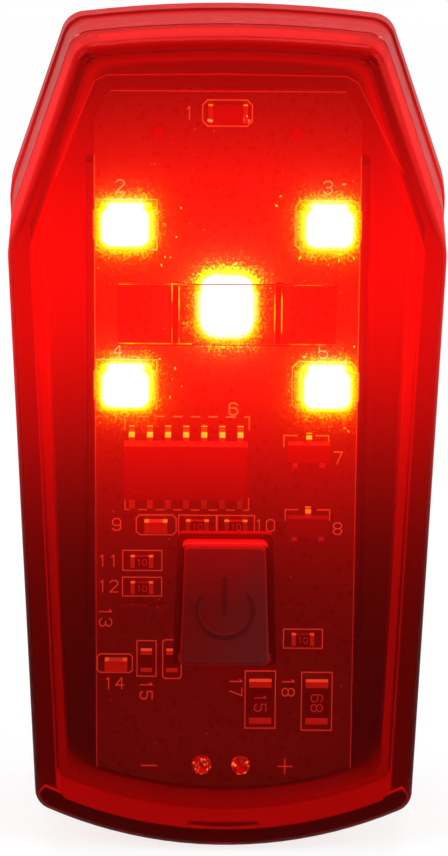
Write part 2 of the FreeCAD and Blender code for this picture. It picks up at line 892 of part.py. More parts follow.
def make_circuit_board():
    """The board: chamfered upper corners, an arched lower edge, and its holes."""
    body = new_body("circuit_board")
    outline = sketch_in(body, "board_sketch", "XZ_Plane", board_back)
    half = size.board_half_width
    radius = size.board_bottom_radius
    side_low = -size.board_bottom + radius - (radius * radius - half * half).root()
    shoulder = half - size.board_chamfer_width
    chamfer_low = size.board_top - size.board_chamfer_drop
    draw_loop(outline, "edge", [
        (half, side_low), (-half, side_low), (-half, chamfer_low), (-shoulder, size.board_top),
        (shoulder, size.board_top), (half, chamfer_low)],
        {0: ((0, -size.board_bottom), radius)})
    pad(body, "board_slab", outline, size.board_thickness)
    holes = sketch_in(body, "board_hole_sketch", "XZ_Plane", size.board_height)
    for side, x in (("left", -size.peg_offset), ("right", size.peg_offset)):
        draw_circle(holes, f"peg_{side}", x, size.peg_place, size.peg_radius + size.peg_clearance)
    for side, x in (("minus", size.minus_joint), ("plus", size.plus_joint)):
        draw_circle(holes, f"lead_{side}", x, size.joint_place, size.lead_hole_radius)
    pocket(body, "board_holes", holes, size.board_thickness + size.overrun)
    finish(body, "circuit_board")


def led_well(name, x, z):
    """The tapered well of an emitter: wide at the package's face, narrower at its floor."""
    well = doc.addObject("Part::Wedge", name)
    high = size.board_height + size.led_rise
    bind(well, "Xmin", -size.led_cup_length / 2)
    bind(well, "Xmax", size.led_cup_length / 2)
    bind(well, "Zmin", -size.led_cup_width / 2)
    bind(well, "Zmax", size.led_cup_width / 2)
    bind(well, "Ymin", -high)
    bind(well, "Ymax", size.led_cup_depth - high)
    bind(well, "X2min", size.led_cup_taper - size.led_cup_length / 2)
    bind(well, "X2max", size.led_cup_length / 2 - size.led_cup_taper)
    bind(well, "Z2min", size.led_cup_taper - size.led_cup_width / 2)
    bind(well, "Z2max", size.led_cup_width / 2 - size.led_cup_taper)
    place(well, x, 0, z)
    return well


def make_led(number, x, z):
    """One light emitter: a white package with a tapered well, and the clear fill in it."""
    package = block(f"led_block_{number}", x, size.board_height, z, size.led_length,
                    size.led_rise, size.led_width)
    finish(cut(f"led_package_{number}", package, led_well(f"led_cup_{number}", x, z)),
           f"led_package_{number}")
    finish(led_well(f"led_window_{number}", x, z), f"led_window_{number}")


def make_leds():
    """Five bright emitters: one in the middle and four round it; metal contacts at their ends."""
    spots = [(formula(0), size.led_centre)]
    for x in (-size.led_column, size.led_column):
        for z in (size.led_centre + size.led_row, size.led_centre - size.led_row):
            spots.append((x, z))
    contacts = []
    for number, (x, z) in enumerate(spots, 1):
        make_led(number, x, z)
        for end in (-1, 1):
            offset = (size.led_length + size.led_contact_length) / 2
            contacts.append(block(f"led_contact_{number}_{'left' if end < 0 else 'right'}",
                                  x + end * offset, size.board_height, z,
                                  size.led_contact_length, size.led_contact_rise,
                                  size.led_contact_width))
    finish(group("led_contacts", contacts), "led_contacts")


def make_indicator():
    """The small charge indicator near the board's upper edge."""
    body_length = size.indicator_length - 2 * size.small_cap
    lamp = block("indicator_lamp", 0, size.board_height, size.indicator_place, body_length,
                 size.indicator_rise, size.indicator_width)
    finish(lamp, "indicator_lamp")
    ends = []
    for end in (-1, 1):
        x = end * (body_length + size.small_cap) / 2
        ends.append(block(f"indicator_end_{'left' if end < 0 else 'right'}", x,
                          size.board_height, size.indicator_place, size.small_cap,
                          size.indicator_end_rise, size.indicator_width))
    finish(group("indicator_contacts", ends), "indicator_contacts")


def gull_wing(name, spot, heading, inner, span, level, thickness, foot, width):
    """One bent lead: a flat foot on the board that steps up into the package.

    The lead leaves the package at inner from its middle, and its foot ends at span / 2.
    heading is the lead's direction in the XZ plane, as an angle from X in degrees.
    """
    sketch = doc.addObject("Sketcher::SketchObject", f"{name}_sketch")
    turned = Rotation(Vector(0, 1, 0), -heading)
    sketch.Placement = Placement(Vector(), turned.multiply(Rotation(Vector(1, 0, 0), 180)))
    tip = formula(span) / 2
    heel = tip - foot
    draw_loop(sketch, "lead", [
        (inner, level), (inner, level + thickness), (heel, level + thickness),
        (heel + thickness, thickness), (tip, thickness), (tip, 0), (heel, 0),
        (heel - thickness, level)])
    place(sketch, spot[0], -size.board_height, spot[1])
    bar = doc.addObject("Part::Extrusion", name)
    bar.Base = sketch
    bar.DirMode = "Custom"
    bar.Dir = turned.multVec(Vector(0, 0, 1))
    bar.Solid = True
    bar.Symmetric = True
    bind(bar, "LengthFwd", width)
    return bar


def make_controller():
    """The controller chip in its moulded package, with seven leads on each long side."""
    body_low = size.board_height + size.chip_standoff
    chip = block("controller_block", size.chip_place_x, body_low, size.chip_place_z,
                 size.chip_length, size.chip_rise, size.chip_width)
    dimple = post("controller_mark",
                  size.chip_place_x - size.chip_length / 2 + size.chip_mark_inset,
                  body_low + size.chip_rise - size.chip_mark_depth,
                  size.chip_place_z - size.chip_width / 2 + size.chip_mark_inset,
                  size.chip_mark_radius, size.chip_mark_depth + size.overrun)
    finish(cut("controller_chip", chip, dimple), "controller_chip")
    leads = []
    for number in range(CHIP_LEADS_PER_SIDE):
        x = size.chip_place_x + (number - (CHIP_LEADS_PER_SIDE - 1) / 2) * size.chip_pitch
        for side, heading in (("lower", -90), ("upper", 90)):
            leads.append(gull_wing(f"controller_lead_{side}_{number + 1}",
                                   (x, size.chip_place_z), heading, size.chip_width / 2,
                                   size.chip_pin_span, size.lead_level, size.lead_thickness,
                                   size.lead_foot, size.chip_pin_width))
    finish(group("controller_leads", leads), "controller_leads")


def make_transistors():
    """Two small three-legged switching transistors, one above the other."""
    leads = []
    for name, z in (("upper", size.transistor_upper_z), ("lower", size.transistor_lower_z)):
        body = block(f"transistor_{name}", size.transistor_place_x,
                     size.board_height + size.transistor_standoff, z, size.transistor_length,
                     size.transistor_rise, size.transistor_width)
        finish(body, f"transistor_{name}")
        for foot, step, heading in (("top", 0, 90), ("left", -1, -90), ("right", 1, -90)):
            leads.append(gull_wing(f"transistor_lead_{name}_{foot}",
                                   (size.transistor_place_x + step * size.transistor_pitch, z),
                                   heading, size.transistor_width / 2, size.transistor_span,
                                   size.transistor_lead_level, size.transistor_lead_thickness,
                                   size.transistor_foot, size.transistor_lead_width))
    finish(group("transistor_leads", leads), "transistor_leads")


def chip_part(name, x, z, upright, length, width, rise, cap):
    """A two-ended chip part: its ceramic middle and its two metal ends."""
    middle_length = length - 2 * cap
    if upright:
        middle = block(f"{name}_middle", x, size.board_height, z, width, rise, middle_length)
    else:
        middle = block(f"{name}_middle", x, size.board_height, z, middle_length, rise, width)
    ends = []
    high = rise + size.cap_proud
    for end in (-1, 1):
        shift = end * (middle_length + cap) / 2
        label = f"{name}_end_{'low' if end < 0 else 'high'}"
        if upright:
            ends.append(block(label, x, size.board_height, z + shift, width, high, cap))
        else:
            ends.append(block(label, x + shift, size.board_height, z, cap, high, width))
    return middle, ends


def make_chip_parts():
    """The resistors and capacitors, each kind as one group of separate solids."""
    small = (size.small_length, size.small_width, size.small_rise, size.small_cap)
    thick = (size.small_length, size.small_width, size.capacitor_rise, size.small_cap)
    large = (size.large_length, size.large_width, size.large_rise, size.large_cap)
    resistors = [
        ("resistor_a", size.column_under_left, size.row_under_chip, False),
        ("resistor_b", size.column_under_right, size.row_under_chip, False),
        ("resistor_c", size.column_left, size.row_left_upper, False),
        ("resistor_d", size.column_left, size.row_left_lower, False),
        ("resistor_e", size.column_third, size.row_lower, True),
        ("resistor_f", size.column_fourth, size.row_lower, True),
        ("resistor_g", size.column_right, size.row_right, False),
    ]
    capacitors = [
        ("capacitor_a", size.column_first, size.row_under_chip, False),
        ("capacitor_b", size.column_corner, size.row_corner, False),
    ]
    current_resistors = [
        ("current_resistor_a", size.column_large_left, size.row_large, True),
        ("current_resistor_b", size.column_large_right, size.row_large, True),
    ]
    all_ends = []
    for label, rows, sizes in (("resistors", resistors, small),
                               ("capacitors", capacitors, thick),
                               ("current_resistors", current_resistors, large)):
        middles = []
        for name, x, z, upright in rows:
            middle, ends = chip_part(name, x, z, upright, *sizes)
            middles.append(middle)
            all_ends += ends
        finish(group(label, middles), label)
    finish(group("chip_part_ends", all_ends), "chip_part_ends")
    sensor = block("motion_sensor", size.sensor_place_x, size.board_height,
                   size.sensor_place_z, size.sensor_side, size.sensor_rise, size.sensor_side)
    finish(sensor, "motion_sensor")


def make_switch():
    """The push switch under the button: case, four legs and the plunger."""
    z = size.button_place
    case_low = size.board_height + size.switch_standoff
    case = block("switch_block", 0, case_low, z, size.switch_side, size.switch_rise,
                 size.switch_side)
    well_depth = size.plunger_depth + size.button_travel + size.plunger_clearance
    well = post("switch_well", 0, case_low + size.switch_rise - well_depth, z,
                size.plunger_radius + size.plunger_clearance, well_depth + size.overrun)
    finish(cut("switch_case", case, well), "switch_case")
    legs = []
    for side, heading in (("left", 180), ("right", 0)):
        for row, step in (("low", -0.5), ("high", 0.5)):
            legs.append(gull_wing(f"switch_leg_{side}_{row}",
                                  (formula(0), z + step * size.switch_leg_pitch), heading,
                                  size.switch_side / 2, size.switch_leg_span,
                                  size.switch_leg_level, size.lead_thickness,
                                  size.switch_leg_foot, size.switch_leg_width))
    finish(group("switch_legs", legs), "switch_legs")
    plunger_low = case_low + size.switch_rise - size.plunger_depth
    plunger_top = size.board_height + size.plunger_rise
    plunger = post("switch_plunger", 0, plunger_low, z, size.plunger_radius,
                   plunger_top - plunger_low)
    finish(plunger, "switch_plunger")


def make_power_button():
    """The soft key: a proud cap in the lens, a lip behind it and a stem to the switch."""
    body = new_body("power_button")
    lip_high = front_inside - size.button_rest_gap
    lip_low = lip_high - size.button_lip_thickness
    lip = sketch_in(body, "button_lip_sketch", "XZ_Plane", lip_low)
    button_outline(lip, "lip", size.button_lip)
    pad(body, "button_lip", lip, size.button_lip_thickness)
    cap = sketch_in(body, "button_cap_sketch", "XZ_Plane", lip_low)
    button_outline(cap, "cap", 0)
    face = size.total_depth + size.button_proud
    pad(body, "button_cap", cap, face - lip_low)
    stem_low = size.board_height + size.plunger_rise
    stem = sketch_in(body, "button_stem_sketch", "XZ_Plane", stem_low)
    draw_circle(stem, "stem", 0, size.button_place, size.stem_radius)
    pad(body, "button_stem", stem, lip_low - stem_low)
    round_edges(body, "button_cap_corners", button_corners(lip_low, face), size.button_corner)
    bevel_edges(body, "button_face_rim", at_height(face), size.button_rim_bevel)
    finish(body, "power_button")


def make_solder_joints():
    """Two domed solder joints where the battery leads come through the board."""
    domes = []
    for label, x in (("minus", size.minus_joint), ("plus", size.plus_joint)):
        dome = doc.addObject("Part::Cone", f"solder_{label}")
        dome.Placement = Placement(Vector(), Rotation(Vector(1, 0, 0), 90))
        bind(dome, "Radius1", size.joint_radius)
        bind(dome, "Radius2", size.joint_tip_radius)
        bind(dome, "Height", size.joint_rise)
        place(dome, x, -size.board_height, size.joint_place)
        domes.append(dome)
    finish(group("solder_joints", domes), "solder_joints")


def make_charge_socket():
    """The charging socket that stands on the back of the board and opens to the rear."""
    mouth = size.shell_floor + size.socket_floor_gap
    rise = board_back - mouth
    outer = block("socket_block", 0, mouth, size.port_place, size.socket_length, rise,
                  size.socket_width)
    inside = block("socket_hollow", 0, mouth - size.overrun, size.port_place,
                   size.socket_length - 2 * size.socket_wall,
                   rise - size.socket_wall + size.overrun,
                   size.socket_width - 2 * size.socket_wall)
    finish(cut("charge_socket", outer, inside), "charge_socket")
    tongue = block("socket_tongue", 0, mouth + size.socket_tongue_setback,
                   size.port_place + size.socket_tongue_offset, size.socket_tongue_length,
                   rise - size.socket_wall - size.socket_tongue_setback,
                   size.socket_tongue_thickness)
    finish(tongue, "socket_tongue")


def make_battery():
    """The flat cell, its guard board and the pads that hold it."""
    cell_low = size.shell_floor + size.pad_thickness
    middle = (size.cell_top + size.cell_bottom) / 2
    body = new_body("battery_cell")
    outline = sketch_in(body, "cell_sketch", "XZ_Plane", cell_low)
    draw_box(outline, "cell", -size.cell_half_width, size.cell_half_width, size.cell_bottom,
             size.cell_top)
    pad(body, "cell_slab", outline, size.cell_thickness)
    round_edges(body, "cell_edges", lambda edge: abs(reach_of(edge).z) > edge.Length - TOLERANCE,
                size.cell_edge_radius)
    finish(body, "battery_cell")
    under = block("cell_tape", 0, size.shell_floor, middle, size.tape_width,
                  size.pad_thickness, size.tape_length)
    finish(under, "cell_tape")
    cell_high = cell_low + size.cell_thickness
    over = block("cell_cushion", 0, cell_high, middle, size.cushion_width,
                 board_back - cell_high, size.cushion_length)
    finish(over, "cell_cushion")
    guard = block("guard_board", 0, cell_low + size.cell_thickness / 2,
                  size.cell_bottom - size.guard_length / 2, 2 * size.guard_half_width,
                  size.guard_thickness, size.guard_length)
    finish(guard, "guard_board")


def make_leads():
    """Two flat leads from the guard board, round the socket and up through the board."""
    strip_low = (size.shell_floor + size.pad_thickness + size.cell_thickness / 2
                 + (size.guard_thickness - size.strip_thickness) / 2)
    high_z = size.cell_bottom - size.guard_length
    low_z = size.joint_place - size.strip_width / 2
    for label, x, side in (("minus", size.minus_joint, -1), ("plus", size.plus_joint, 1)):
        out = side * (size.socket_length / 2 + size.strip_offset)
        far = out + side * size.strip_width / 2
        near = x - side * size.strip_pin / 2
        down = block(f"lead_down_{label}", out, strip_low, (high_z + low_z) / 2,
                     size.strip_width, size.strip_thickness, high_z - low_z)
        across = block(f"lead_across_{label}", (far + near) / 2, strip_low, size.joint_place,
                       side * (far - near), size.strip_thickness, size.strip_width)
        pin = block(f"lead_pin_{label}", x, strip_low, size.joint_place, size.strip_pin,
                    size.board_height - strip_low, size.strip_pin)
        finish(fuse(f"battery_lead_{label}", [down, across, pin]), f"battery_lead_{label}")


def make_port_cover():
    """The rubber cover: a plate with a round hinge edge, a plug for the port and a nail tab."""
    body = new_body("port_cover")
    half = size.cover_thickness / 2
    plate = sketch_in(body, "cover_sketch", "YZ_Plane", 0)
    hinge = size.cover_hinge_place
    tab_low = size.cover_top - size.cover_tab_length
    proud = size.cover_tab_proud
    draw_loop(plate, "plate", [
        (-2 * half, hinge), (-half, hinge - half), (0, hinge), (0, tab_low),
        (proud, tab_low + proud), (proud, size.cover_top), (-2 * half, size.cover_top)],
        {0: ((-half - half * EIGHTH, hinge - half * EIGHTH), half),
         1: ((-half + half * EIGHTH, hinge - half * EIGHTH), half)})
    pad(body, "cover_plate", plate, 2 * size.cover_half_length, both_ways=True)
    plug = sketch_in(body, "cover_plug_sketch", "XZ_Plane", size.cover_thickness)
    reach_x = size.socket_length / 2 + size.port_clearance - size.cover_plug_clearance
    reach_z = size.socket_width / 2 + size.port_clearance - size.cover_plug_clearance
    draw_box(plug, "plug", -reach_x, reach_x, size.port_place - reach_z,
             size.port_place + reach_z)
    pad(body, "cover_plug", plug, size.cover_plug_depth)
    finish(body, "port_cover")
    anchor = block("port_cover_anchor", 0, 0, (foot_low + foot_high) / 2,
                   2 * size.cover_half_length, size.cover_thickness, size.cover_foot_length)
    finish(anchor, "port_cover_anchor")


def make_clip_pin():
    """The steel pin through the ears, with a head at one end."""
    reach = size.arm_half_width + size.side_clearance + size.ear_thickness
    shank = doc.addObject("Part::Cylinder", "pin_shank")
    shank.Placement = Placement(Vector(), Rotation(Vector(0, 1, 0), 90))
    bind(shank, "Radius", size.pin_radius)
    bind(shank, "Height", 2 * reach + size.pin_head_length)
    place(shank, -reach - size.pin_head_length / 2, size.pin_standoff, size.pin_place)
    head = doc.addObject("Part::Cylinder", "pin_head")
    head.Placement = Placement(Vector(), Rotation(Vector(0, 1, 0), 90))
    bind(head, "Radius", size.pin_head_radius)
    bind(head, "Height", size.pin_head_length)
    place(head, reach, size.pin_standoff, size.pin_place)
    finish(fuse("clip_pin", [shank, head]), "clip_pin")


def make_clip_arm():
    """The clip's arm: thumb end, knuckles round the pin, a long flat blade and a hooked lip."""
    body = new_body("clip_arm")
    inner = size.arm_standoff
    outer = inner + size.arm_thickness
    blade = sketch_in(body, "arm_side_sketch", "YZ_Plane", 0)
    touch = size.arm_contact_gap
    draw_loop(blade, "blade", [
        (inner, size.arm_top), (inner, size.arm_bend), (touch, size.arm_contact),
        (touch + size.arm_tip_lift, size.arm_tip),
        (touch + size.arm_tip_lift + size.arm_thickness, size.arm_tip),
        (touch + size.arm_thickness + size.arm_contact_swell,
         size.arm_contact - size.arm_contact_setback),
        (outer, size.arm_bend - size.arm_bend_setback), (outer, size.arm_top)])
    pad(body, "arm_blade", blade, 2 * size.arm_half_width, both_ways=True)
    doc.recompute()

    def across_at(y, z):
        place_y = formula(y).value
        place_z = formula(z).value
        return lambda edge: math.hypot(middle_of(edge).y - place_y,
                                       middle_of(edge).z - place_z) < TOLERANCE
    round_edges(body, "arm_inner_bend", across_at(inner, size.arm_bend),
                size.arm_inner_bend_radius)
    round_edges(body, "arm_outer_bend", across_at(outer, size.arm_bend - size.arm_bend_setback),
                size.arm_outer_bend_radius)
    round_edges(body, "arm_contact_round", across_at(touch, size.arm_contact),
                size.arm_contact_radius)
    knuckle = sketch_in(body, "knuckle_sketch", "YZ_Plane",
                        size.arm_half_width - size.knuckle_thickness)
    ear_profile(knuckle, "knuckle", inner + size.knuckle_root, size.pin_standoff, size.knuckle_radius,
                size.knuckle_radius)
    knuckle_pad = pad(body, "knuckle", knuckle, size.knuckle_thickness)
    mirror(body, "knuckles", knuckle_pad)
    window = sketch_in(body, "arm_window_sketch", "XZ_Plane", 0)
    draw_box(window, "window", -size.arm_window_half_width, size.arm_window_half_width,
             size.pin_place - size.arm_window_half_height,
             size.pin_place + size.arm_window_half_height)
    pocket(body, "arm_window", window, outer + size.overrun)
    hole = sketch_in(body, "knuckle_hole_sketch", "YZ_Plane", 0)
    draw_circle(hole, "hole", size.pin_standoff, size.pin_place,
                size.pin_radius + size.pin_running_clearance)
    pocket(body, "knuckle_holes", hole, 2 * (size.arm_half_width + size.overrun), both_ways=True)
    recess = sketch_in(body, "arm_recess_sketch", "XZ_Plane", -outer)
    draw_box(recess, "recess", -size.recess_half_width, size.recess_half_width,
             size.recess_bottom, size.recess_top)
    pocket(body, "arm_recess", recess, size.recess_depth, backwards=True)
    groove = sketch_in(body, "grip_sketch", "XZ_Plane", -outer)
    beyond = size.arm_half_width + size.overrun
    draw_box(groove, "groove", -beyond, beyond, size.grip_start,
             size.grip_start + size.grip_width)
    groove_cut = pocket(body, "grip_groove", groove, size.grip_depth, backwards=True)
    grooves = body.newObject("PartDesign::LinearPattern", "grip_grooves")
    grooves.Originals = [groove_cut]
    grooves.Direction = (plane_of(body, "Z_Axis"), [""])
    grooves.Occurrences = GRIP_GROOVES
    bind(grooves, "Length", (GRIP_GROOVES - 1) * size.grip_pitch)
    body.Tip = grooves
    trim = sketch_in(body, "arm_outline_sketch", "XZ_Plane", 0)
    corner = size.arm_corner_radius
    reach = size.arm_half_width + corner
    draw_box(trim, "clear", -reach, reach, size.arm_tip - corner, size.arm_top + corner)
    wide = size.arm_half_width - size.arm_trim
    tip = size.arm_tip_half_width
    low = size.arm_tip + size.arm_trim
    high = size.arm_top - size.arm_trim
    taper = size.arm_bend + size.arm_taper_start
    # how far an arc's middle stands in from the corner that it rounds
    cutback = corner * (1 - EIGHTH)
    draw_loop(trim, "keep", [
        (-(tip - corner), low), (tip - corner, low), (tip, low + corner), (wide, taper),
        (wide, high - corner), (wide - corner, high), (-(wide - corner), high),
        (-wide, high - corner), (-wide, taper), (-tip, low + corner)],
        {1: ((tip - cutback, low + cutback), corner),
         4: ((wide - cutback, high - cutback), corner),
         6: ((-(wide - cutback), high - cutback), corner),
         9: ((-(tip - cutback), low + cutback), corner)})
    pocket(body, "arm_outline", trim, outer + size.overrun)
    finish(body, "clip_arm")


def biarc(start, heading, end, end_heading):
    """Two tangent arcs from one point and direction to another."""
    span = end - start
    both = heading + end_heading
    lead = 4 - both.dot(both)
    along = span.dot(both)
    reach = (-along + math.sqrt(along * along + lead * span.dot(span))) / lead
    first = start + heading * reach
    second = end - end_heading * reach
    joint = (first + second) * 0.5
    return [tangent_arc(start, first, joint), tangent_arc(joint, second, end)]


def tangent_arc(start, corner, end):
    """The arc from start to end whose tangents meet at corner."""
    middle = (start + end) * 0.5
    half = (end - start).Length / 2
    lift = corner - middle
    quarter = math.atan2(lift.Length, half) / 2
    crown = middle + lift.normalize() * (half * math.tan(quarter))
    return Part.Arc(start, crown, end).toShape()


def make_clip_spring():
    """The wound clip spring round the pin, as one unbroken wire with two straight legs."""
    wire = size.wire_radius.value
    radius = size.coil_radius.value
    pitch = size.coil_pitch.value
    turns = size.coil_turns.value
    axis_y = size.pin_standoff.value
    axis_z = size.pin_place.value
    leg = size.spring_leg.value
    seat = wire + size.spring_seat_gap.value
    shell_tilt = math.asin((axis_y - seat) / math.hypot(radius, leg)) - math.atan2(radius, leg)
    rest_y = size.arm_standoff.value - seat - axis_y
    rest_z = size.spring_bearing.value
    arm_tilt = math.asin(radius / math.hypot(rest_y, rest_z)) - math.atan2(rest_y, rest_z)
    # angles are measured from +Y towards +Z; the coil runs from the shell side to the arm side
    begin = math.pi + shell_tilt
    total = 2 * math.pi * turns + math.pi + arm_tilt - shell_tilt
    length = pitch * total / (2 * math.pi)

    def coil_point(angle):
        along = -length / 2 + pitch * angle / (2 * math.pi)
        turn = begin + angle
        return Vector(along, axis_y + radius * math.cos(turn), axis_z + radius * math.sin(turn))

    def coil_heading(angle):
        turn = begin + angle
        slope = pitch / (2 * math.pi)
        return Vector(slope, -radius * math.sin(turn), radius * math.cos(turn)).normalize()

    pieces = math.ceil(total / math.pi)
    step = total / pieces
    first = coil_point(0)
    first_heading = coil_heading(0)
    start = first - first_heading * leg
    edges = [Part.LineSegment(start, first).toShape()]
    for number in range(pieces):
        low = number * step
        high = low + step
        edges += biarc(coil_point(low), coil_heading(low), coil_point(high), coil_heading(high))
    last = coil_point(total)
    last_heading = coil_heading(total)
    edges.append(Part.LineSegment(last, last + last_heading * leg).toShape())
    path = Part.Wire(edges)
    ring = Part.Wire(Part.Circle(start, first_heading, wire).toShape())
    solid = path.makePipeShell([ring], True, False)
    samples = path.discretize(Number=SPRING_SAMPLES)
    away = path.Length / SPRING_SAMPLES
    near = math.pi * radius
    least = min((a - b).Length for i, a in enumerate(samples) for j, b in enumerate(samples)
                if (j - i) * away > near)
    print(f"clip_spring: least gap to itself {least - 2 * wire:.3f} mm")
    spring = doc.addObject("Part::Feature", "clip_spring")
    spring.Shape = solid
    spring.Placement = Placement()
    finish(spring, "clip_spring")


make_lens_cup()
make_rear_shell()
make_lens_seal()
make_circuit_board()
make_leds()
make_indicator()
make_controller()
make_transistors()
make_chip_parts()
make_switch()
make_power_button()
make_solder_joints()
make_charge_socket()
make_battery()
make_leads()
make_port_cover()
make_clip_pin()
make_clip_arm()
make_clip_spring()
doc.recompute()

faults = [item.Name for item in doc.Objects if "Invalid" in item.State or "Error" in item.State]
for part in SUB_PARTS:
    if part.Shape.isNull() or not part.Shape.isValid() or not part.Shape.Solids:
        faults.append(part.Label)
if faults:
    raise RuntimeError("not built: " + ", ".join(faults))

os.makedirs("parts", exist_ok=True)
for part in SUB_PARTS:
    part.Shape.exportStep(f"parts/{part.Label}.step")
    box = part.Shape.BoundBox
    print(f"{part.Label}: solids {len(part.Shape.Solids)}, volume {part.Shape.Volume:.2f},"
          f" x {box.XMin:.2f} {box.XMax:.2f}, y {box.YMin:.2f} {box.YMax:.2f},"
          f" z {box.ZMin:.2f} {box.ZMax:.2f}")
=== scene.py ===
"""Looks of the clip-on bicycle tail light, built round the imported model."""

import math
import random

import bpy
from mathutils import Matrix, Vector


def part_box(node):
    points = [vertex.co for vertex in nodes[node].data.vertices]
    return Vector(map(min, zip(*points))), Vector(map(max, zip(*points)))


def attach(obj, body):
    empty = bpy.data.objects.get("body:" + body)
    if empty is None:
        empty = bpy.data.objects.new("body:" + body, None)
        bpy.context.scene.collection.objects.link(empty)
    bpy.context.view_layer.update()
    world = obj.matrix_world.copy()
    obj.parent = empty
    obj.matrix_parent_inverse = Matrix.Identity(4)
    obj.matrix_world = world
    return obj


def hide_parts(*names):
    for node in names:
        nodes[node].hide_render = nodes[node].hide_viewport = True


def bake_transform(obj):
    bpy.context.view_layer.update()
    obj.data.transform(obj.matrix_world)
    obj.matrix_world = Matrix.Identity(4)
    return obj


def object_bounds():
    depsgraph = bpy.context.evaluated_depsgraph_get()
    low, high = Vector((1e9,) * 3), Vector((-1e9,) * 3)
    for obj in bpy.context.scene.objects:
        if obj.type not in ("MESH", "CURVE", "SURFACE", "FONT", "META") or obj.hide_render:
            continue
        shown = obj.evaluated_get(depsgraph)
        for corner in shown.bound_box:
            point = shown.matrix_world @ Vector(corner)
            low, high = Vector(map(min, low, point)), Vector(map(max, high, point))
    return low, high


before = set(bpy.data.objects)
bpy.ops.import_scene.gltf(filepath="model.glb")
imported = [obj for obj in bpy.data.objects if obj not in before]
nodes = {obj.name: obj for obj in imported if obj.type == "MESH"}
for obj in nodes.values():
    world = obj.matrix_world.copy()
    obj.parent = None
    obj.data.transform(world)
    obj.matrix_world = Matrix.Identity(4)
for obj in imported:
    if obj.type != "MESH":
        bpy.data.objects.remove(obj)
cad_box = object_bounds()
MM = 0.001
# every random draw comes from here, in the order in which the pieces are made
draws = random.Random(7)

# The photograph's camera, which looks a little down on the front face
CAMERA_RISE = math.radians(15.0)
CAMERA_ROLL = math.radians(0.4)
CAMERA_REACH = 210 * MM
CAMERA_LENS = 129.9
CAMERA_NEAR = 0.01
CAMERA_FAR = 20
LOOKED_AT = Vector((-0.14 * MM, -17 * MM, 0))

# The lamps, all aimed at the part: name, place and size in metres
LAMPS = (
    ("lamp_left", (-0.35, -0.25, 0.25), (0.3, 0.3)),
    ("lamp_right", (0.35, -0.2, 0.2), (0.3, 0.3)),
    ("lamp_top", (0, 0.1, 0.45), (0.4, 0.3)),
)
LAMP_POWER = 1.6
LAMPS_AIM = Vector((0, 0, 0))

# The stage: a floor just under the part, whiter to the camera than to the part
FLOOR_GAP = 0.0001
FLOOR_REACH = 3
FLOOR_SHARE_NEAR = 0.8
FLOOR_SHARE_FAR = 1.0
FLOOR_NEAR = 0.1
FLOOR_FAR = 0.45
SKY_WHITE_BELOW = 0.2
SKY_DARK_ABOVE = 0.34
SKY_DARK = 0.12
SKY_LIGHT = 0.3

# The lit emitters, in millimetres: one in the middle and four round it
EMITTER_MIDDLE = 7.05
EMITTER_COLUMN = 7.0
EMITTER_ROW = 5.7
EMITTER_HALF_X = 1.5
EMITTER_HALF_Z = 1.22
EMITTER_CORNER = 0.6
EMITTER_LIFT = 0.15
MIDDLE_WIDER = 0.4

# The board's painted glow: the height where it is fullest, its spread, and how much slower it
# falls sideways
FIELD_MIDDLE = 9.0
FIELD_SPREAD = 150.0
FIELD_SIDEWAYS = 0.3

# The painted fringes of light round the emitters: reach in millimetres, and strength at the
# middle emitter and at the others
RED_FRINGE = (0.9, 3.0, 3.0)
YELLOW_FRINGE = (0.55, 300.0, 110.0)
YELLOW_HAZE = (1.4, 10.0, 4.0)
WHITE_FRINGE = (0.13, 262.0, 92.0)

# Faces of the part that pieces lie on, in millimetres
BOARD_FACE = -9.8
SMALL_RESISTOR_FACE = BOARD_FACE - 0.5
LARGE_RESISTOR_FACE = BOARD_FACE - 0.6
OPTIC_FACE = -15.02
LENS_INNER_FACE = -15.37
KEY_FACE = -17.4
# in front of the seam the rear shell reaches into the lens
SEAM = -1.7

# The hole of the key in the lens, in millimetres
KEY_HOLE_HALF = 3.9
KEY_HOLE_TOP = -6.8
KEY_HOLE_FOOT = -20.0

# The clear red plastic
CLEAR_IOR = 1.49
CLEAR_ROUGH = 0.03
CLEAR_RED = (0.968, 0.01, 0.008, 1)
CLEAR_DENSITY = 2900.0
CLEAR_SHADOW = (0.93, 0.1, 0.09, 1)
# heights between which its walls carry more and more of the painted glow, in millimetres
WALL_LIGHT_RISE = (10.0, 19.0)
# and heights between which the painted light on the sides of the key's hole, and then on its
# brow, gets brighter
HOLE_SIDES_RISE = (-18.0, -9.0)
HOLE_BROW_RISE = (-9.2, -8.2)

# The key's painted light, in millimetres: painted shade darkens it downwards between two
# heights, and a painted reflection turns it greyer beyond a slanting line
KEY_DARKENS = (-8.6, -12.5)
KEY_SLANT = 0.6
KEY_SLANT_AT = 7.6
KEY_REFLECTION_GREYS = (-1.0, 5.0)

# The middles of the two solder joints, in millimetres
SOLDER_COLUMNS = (-1.6, 1.23)
SOLDER_ROW = -27.0


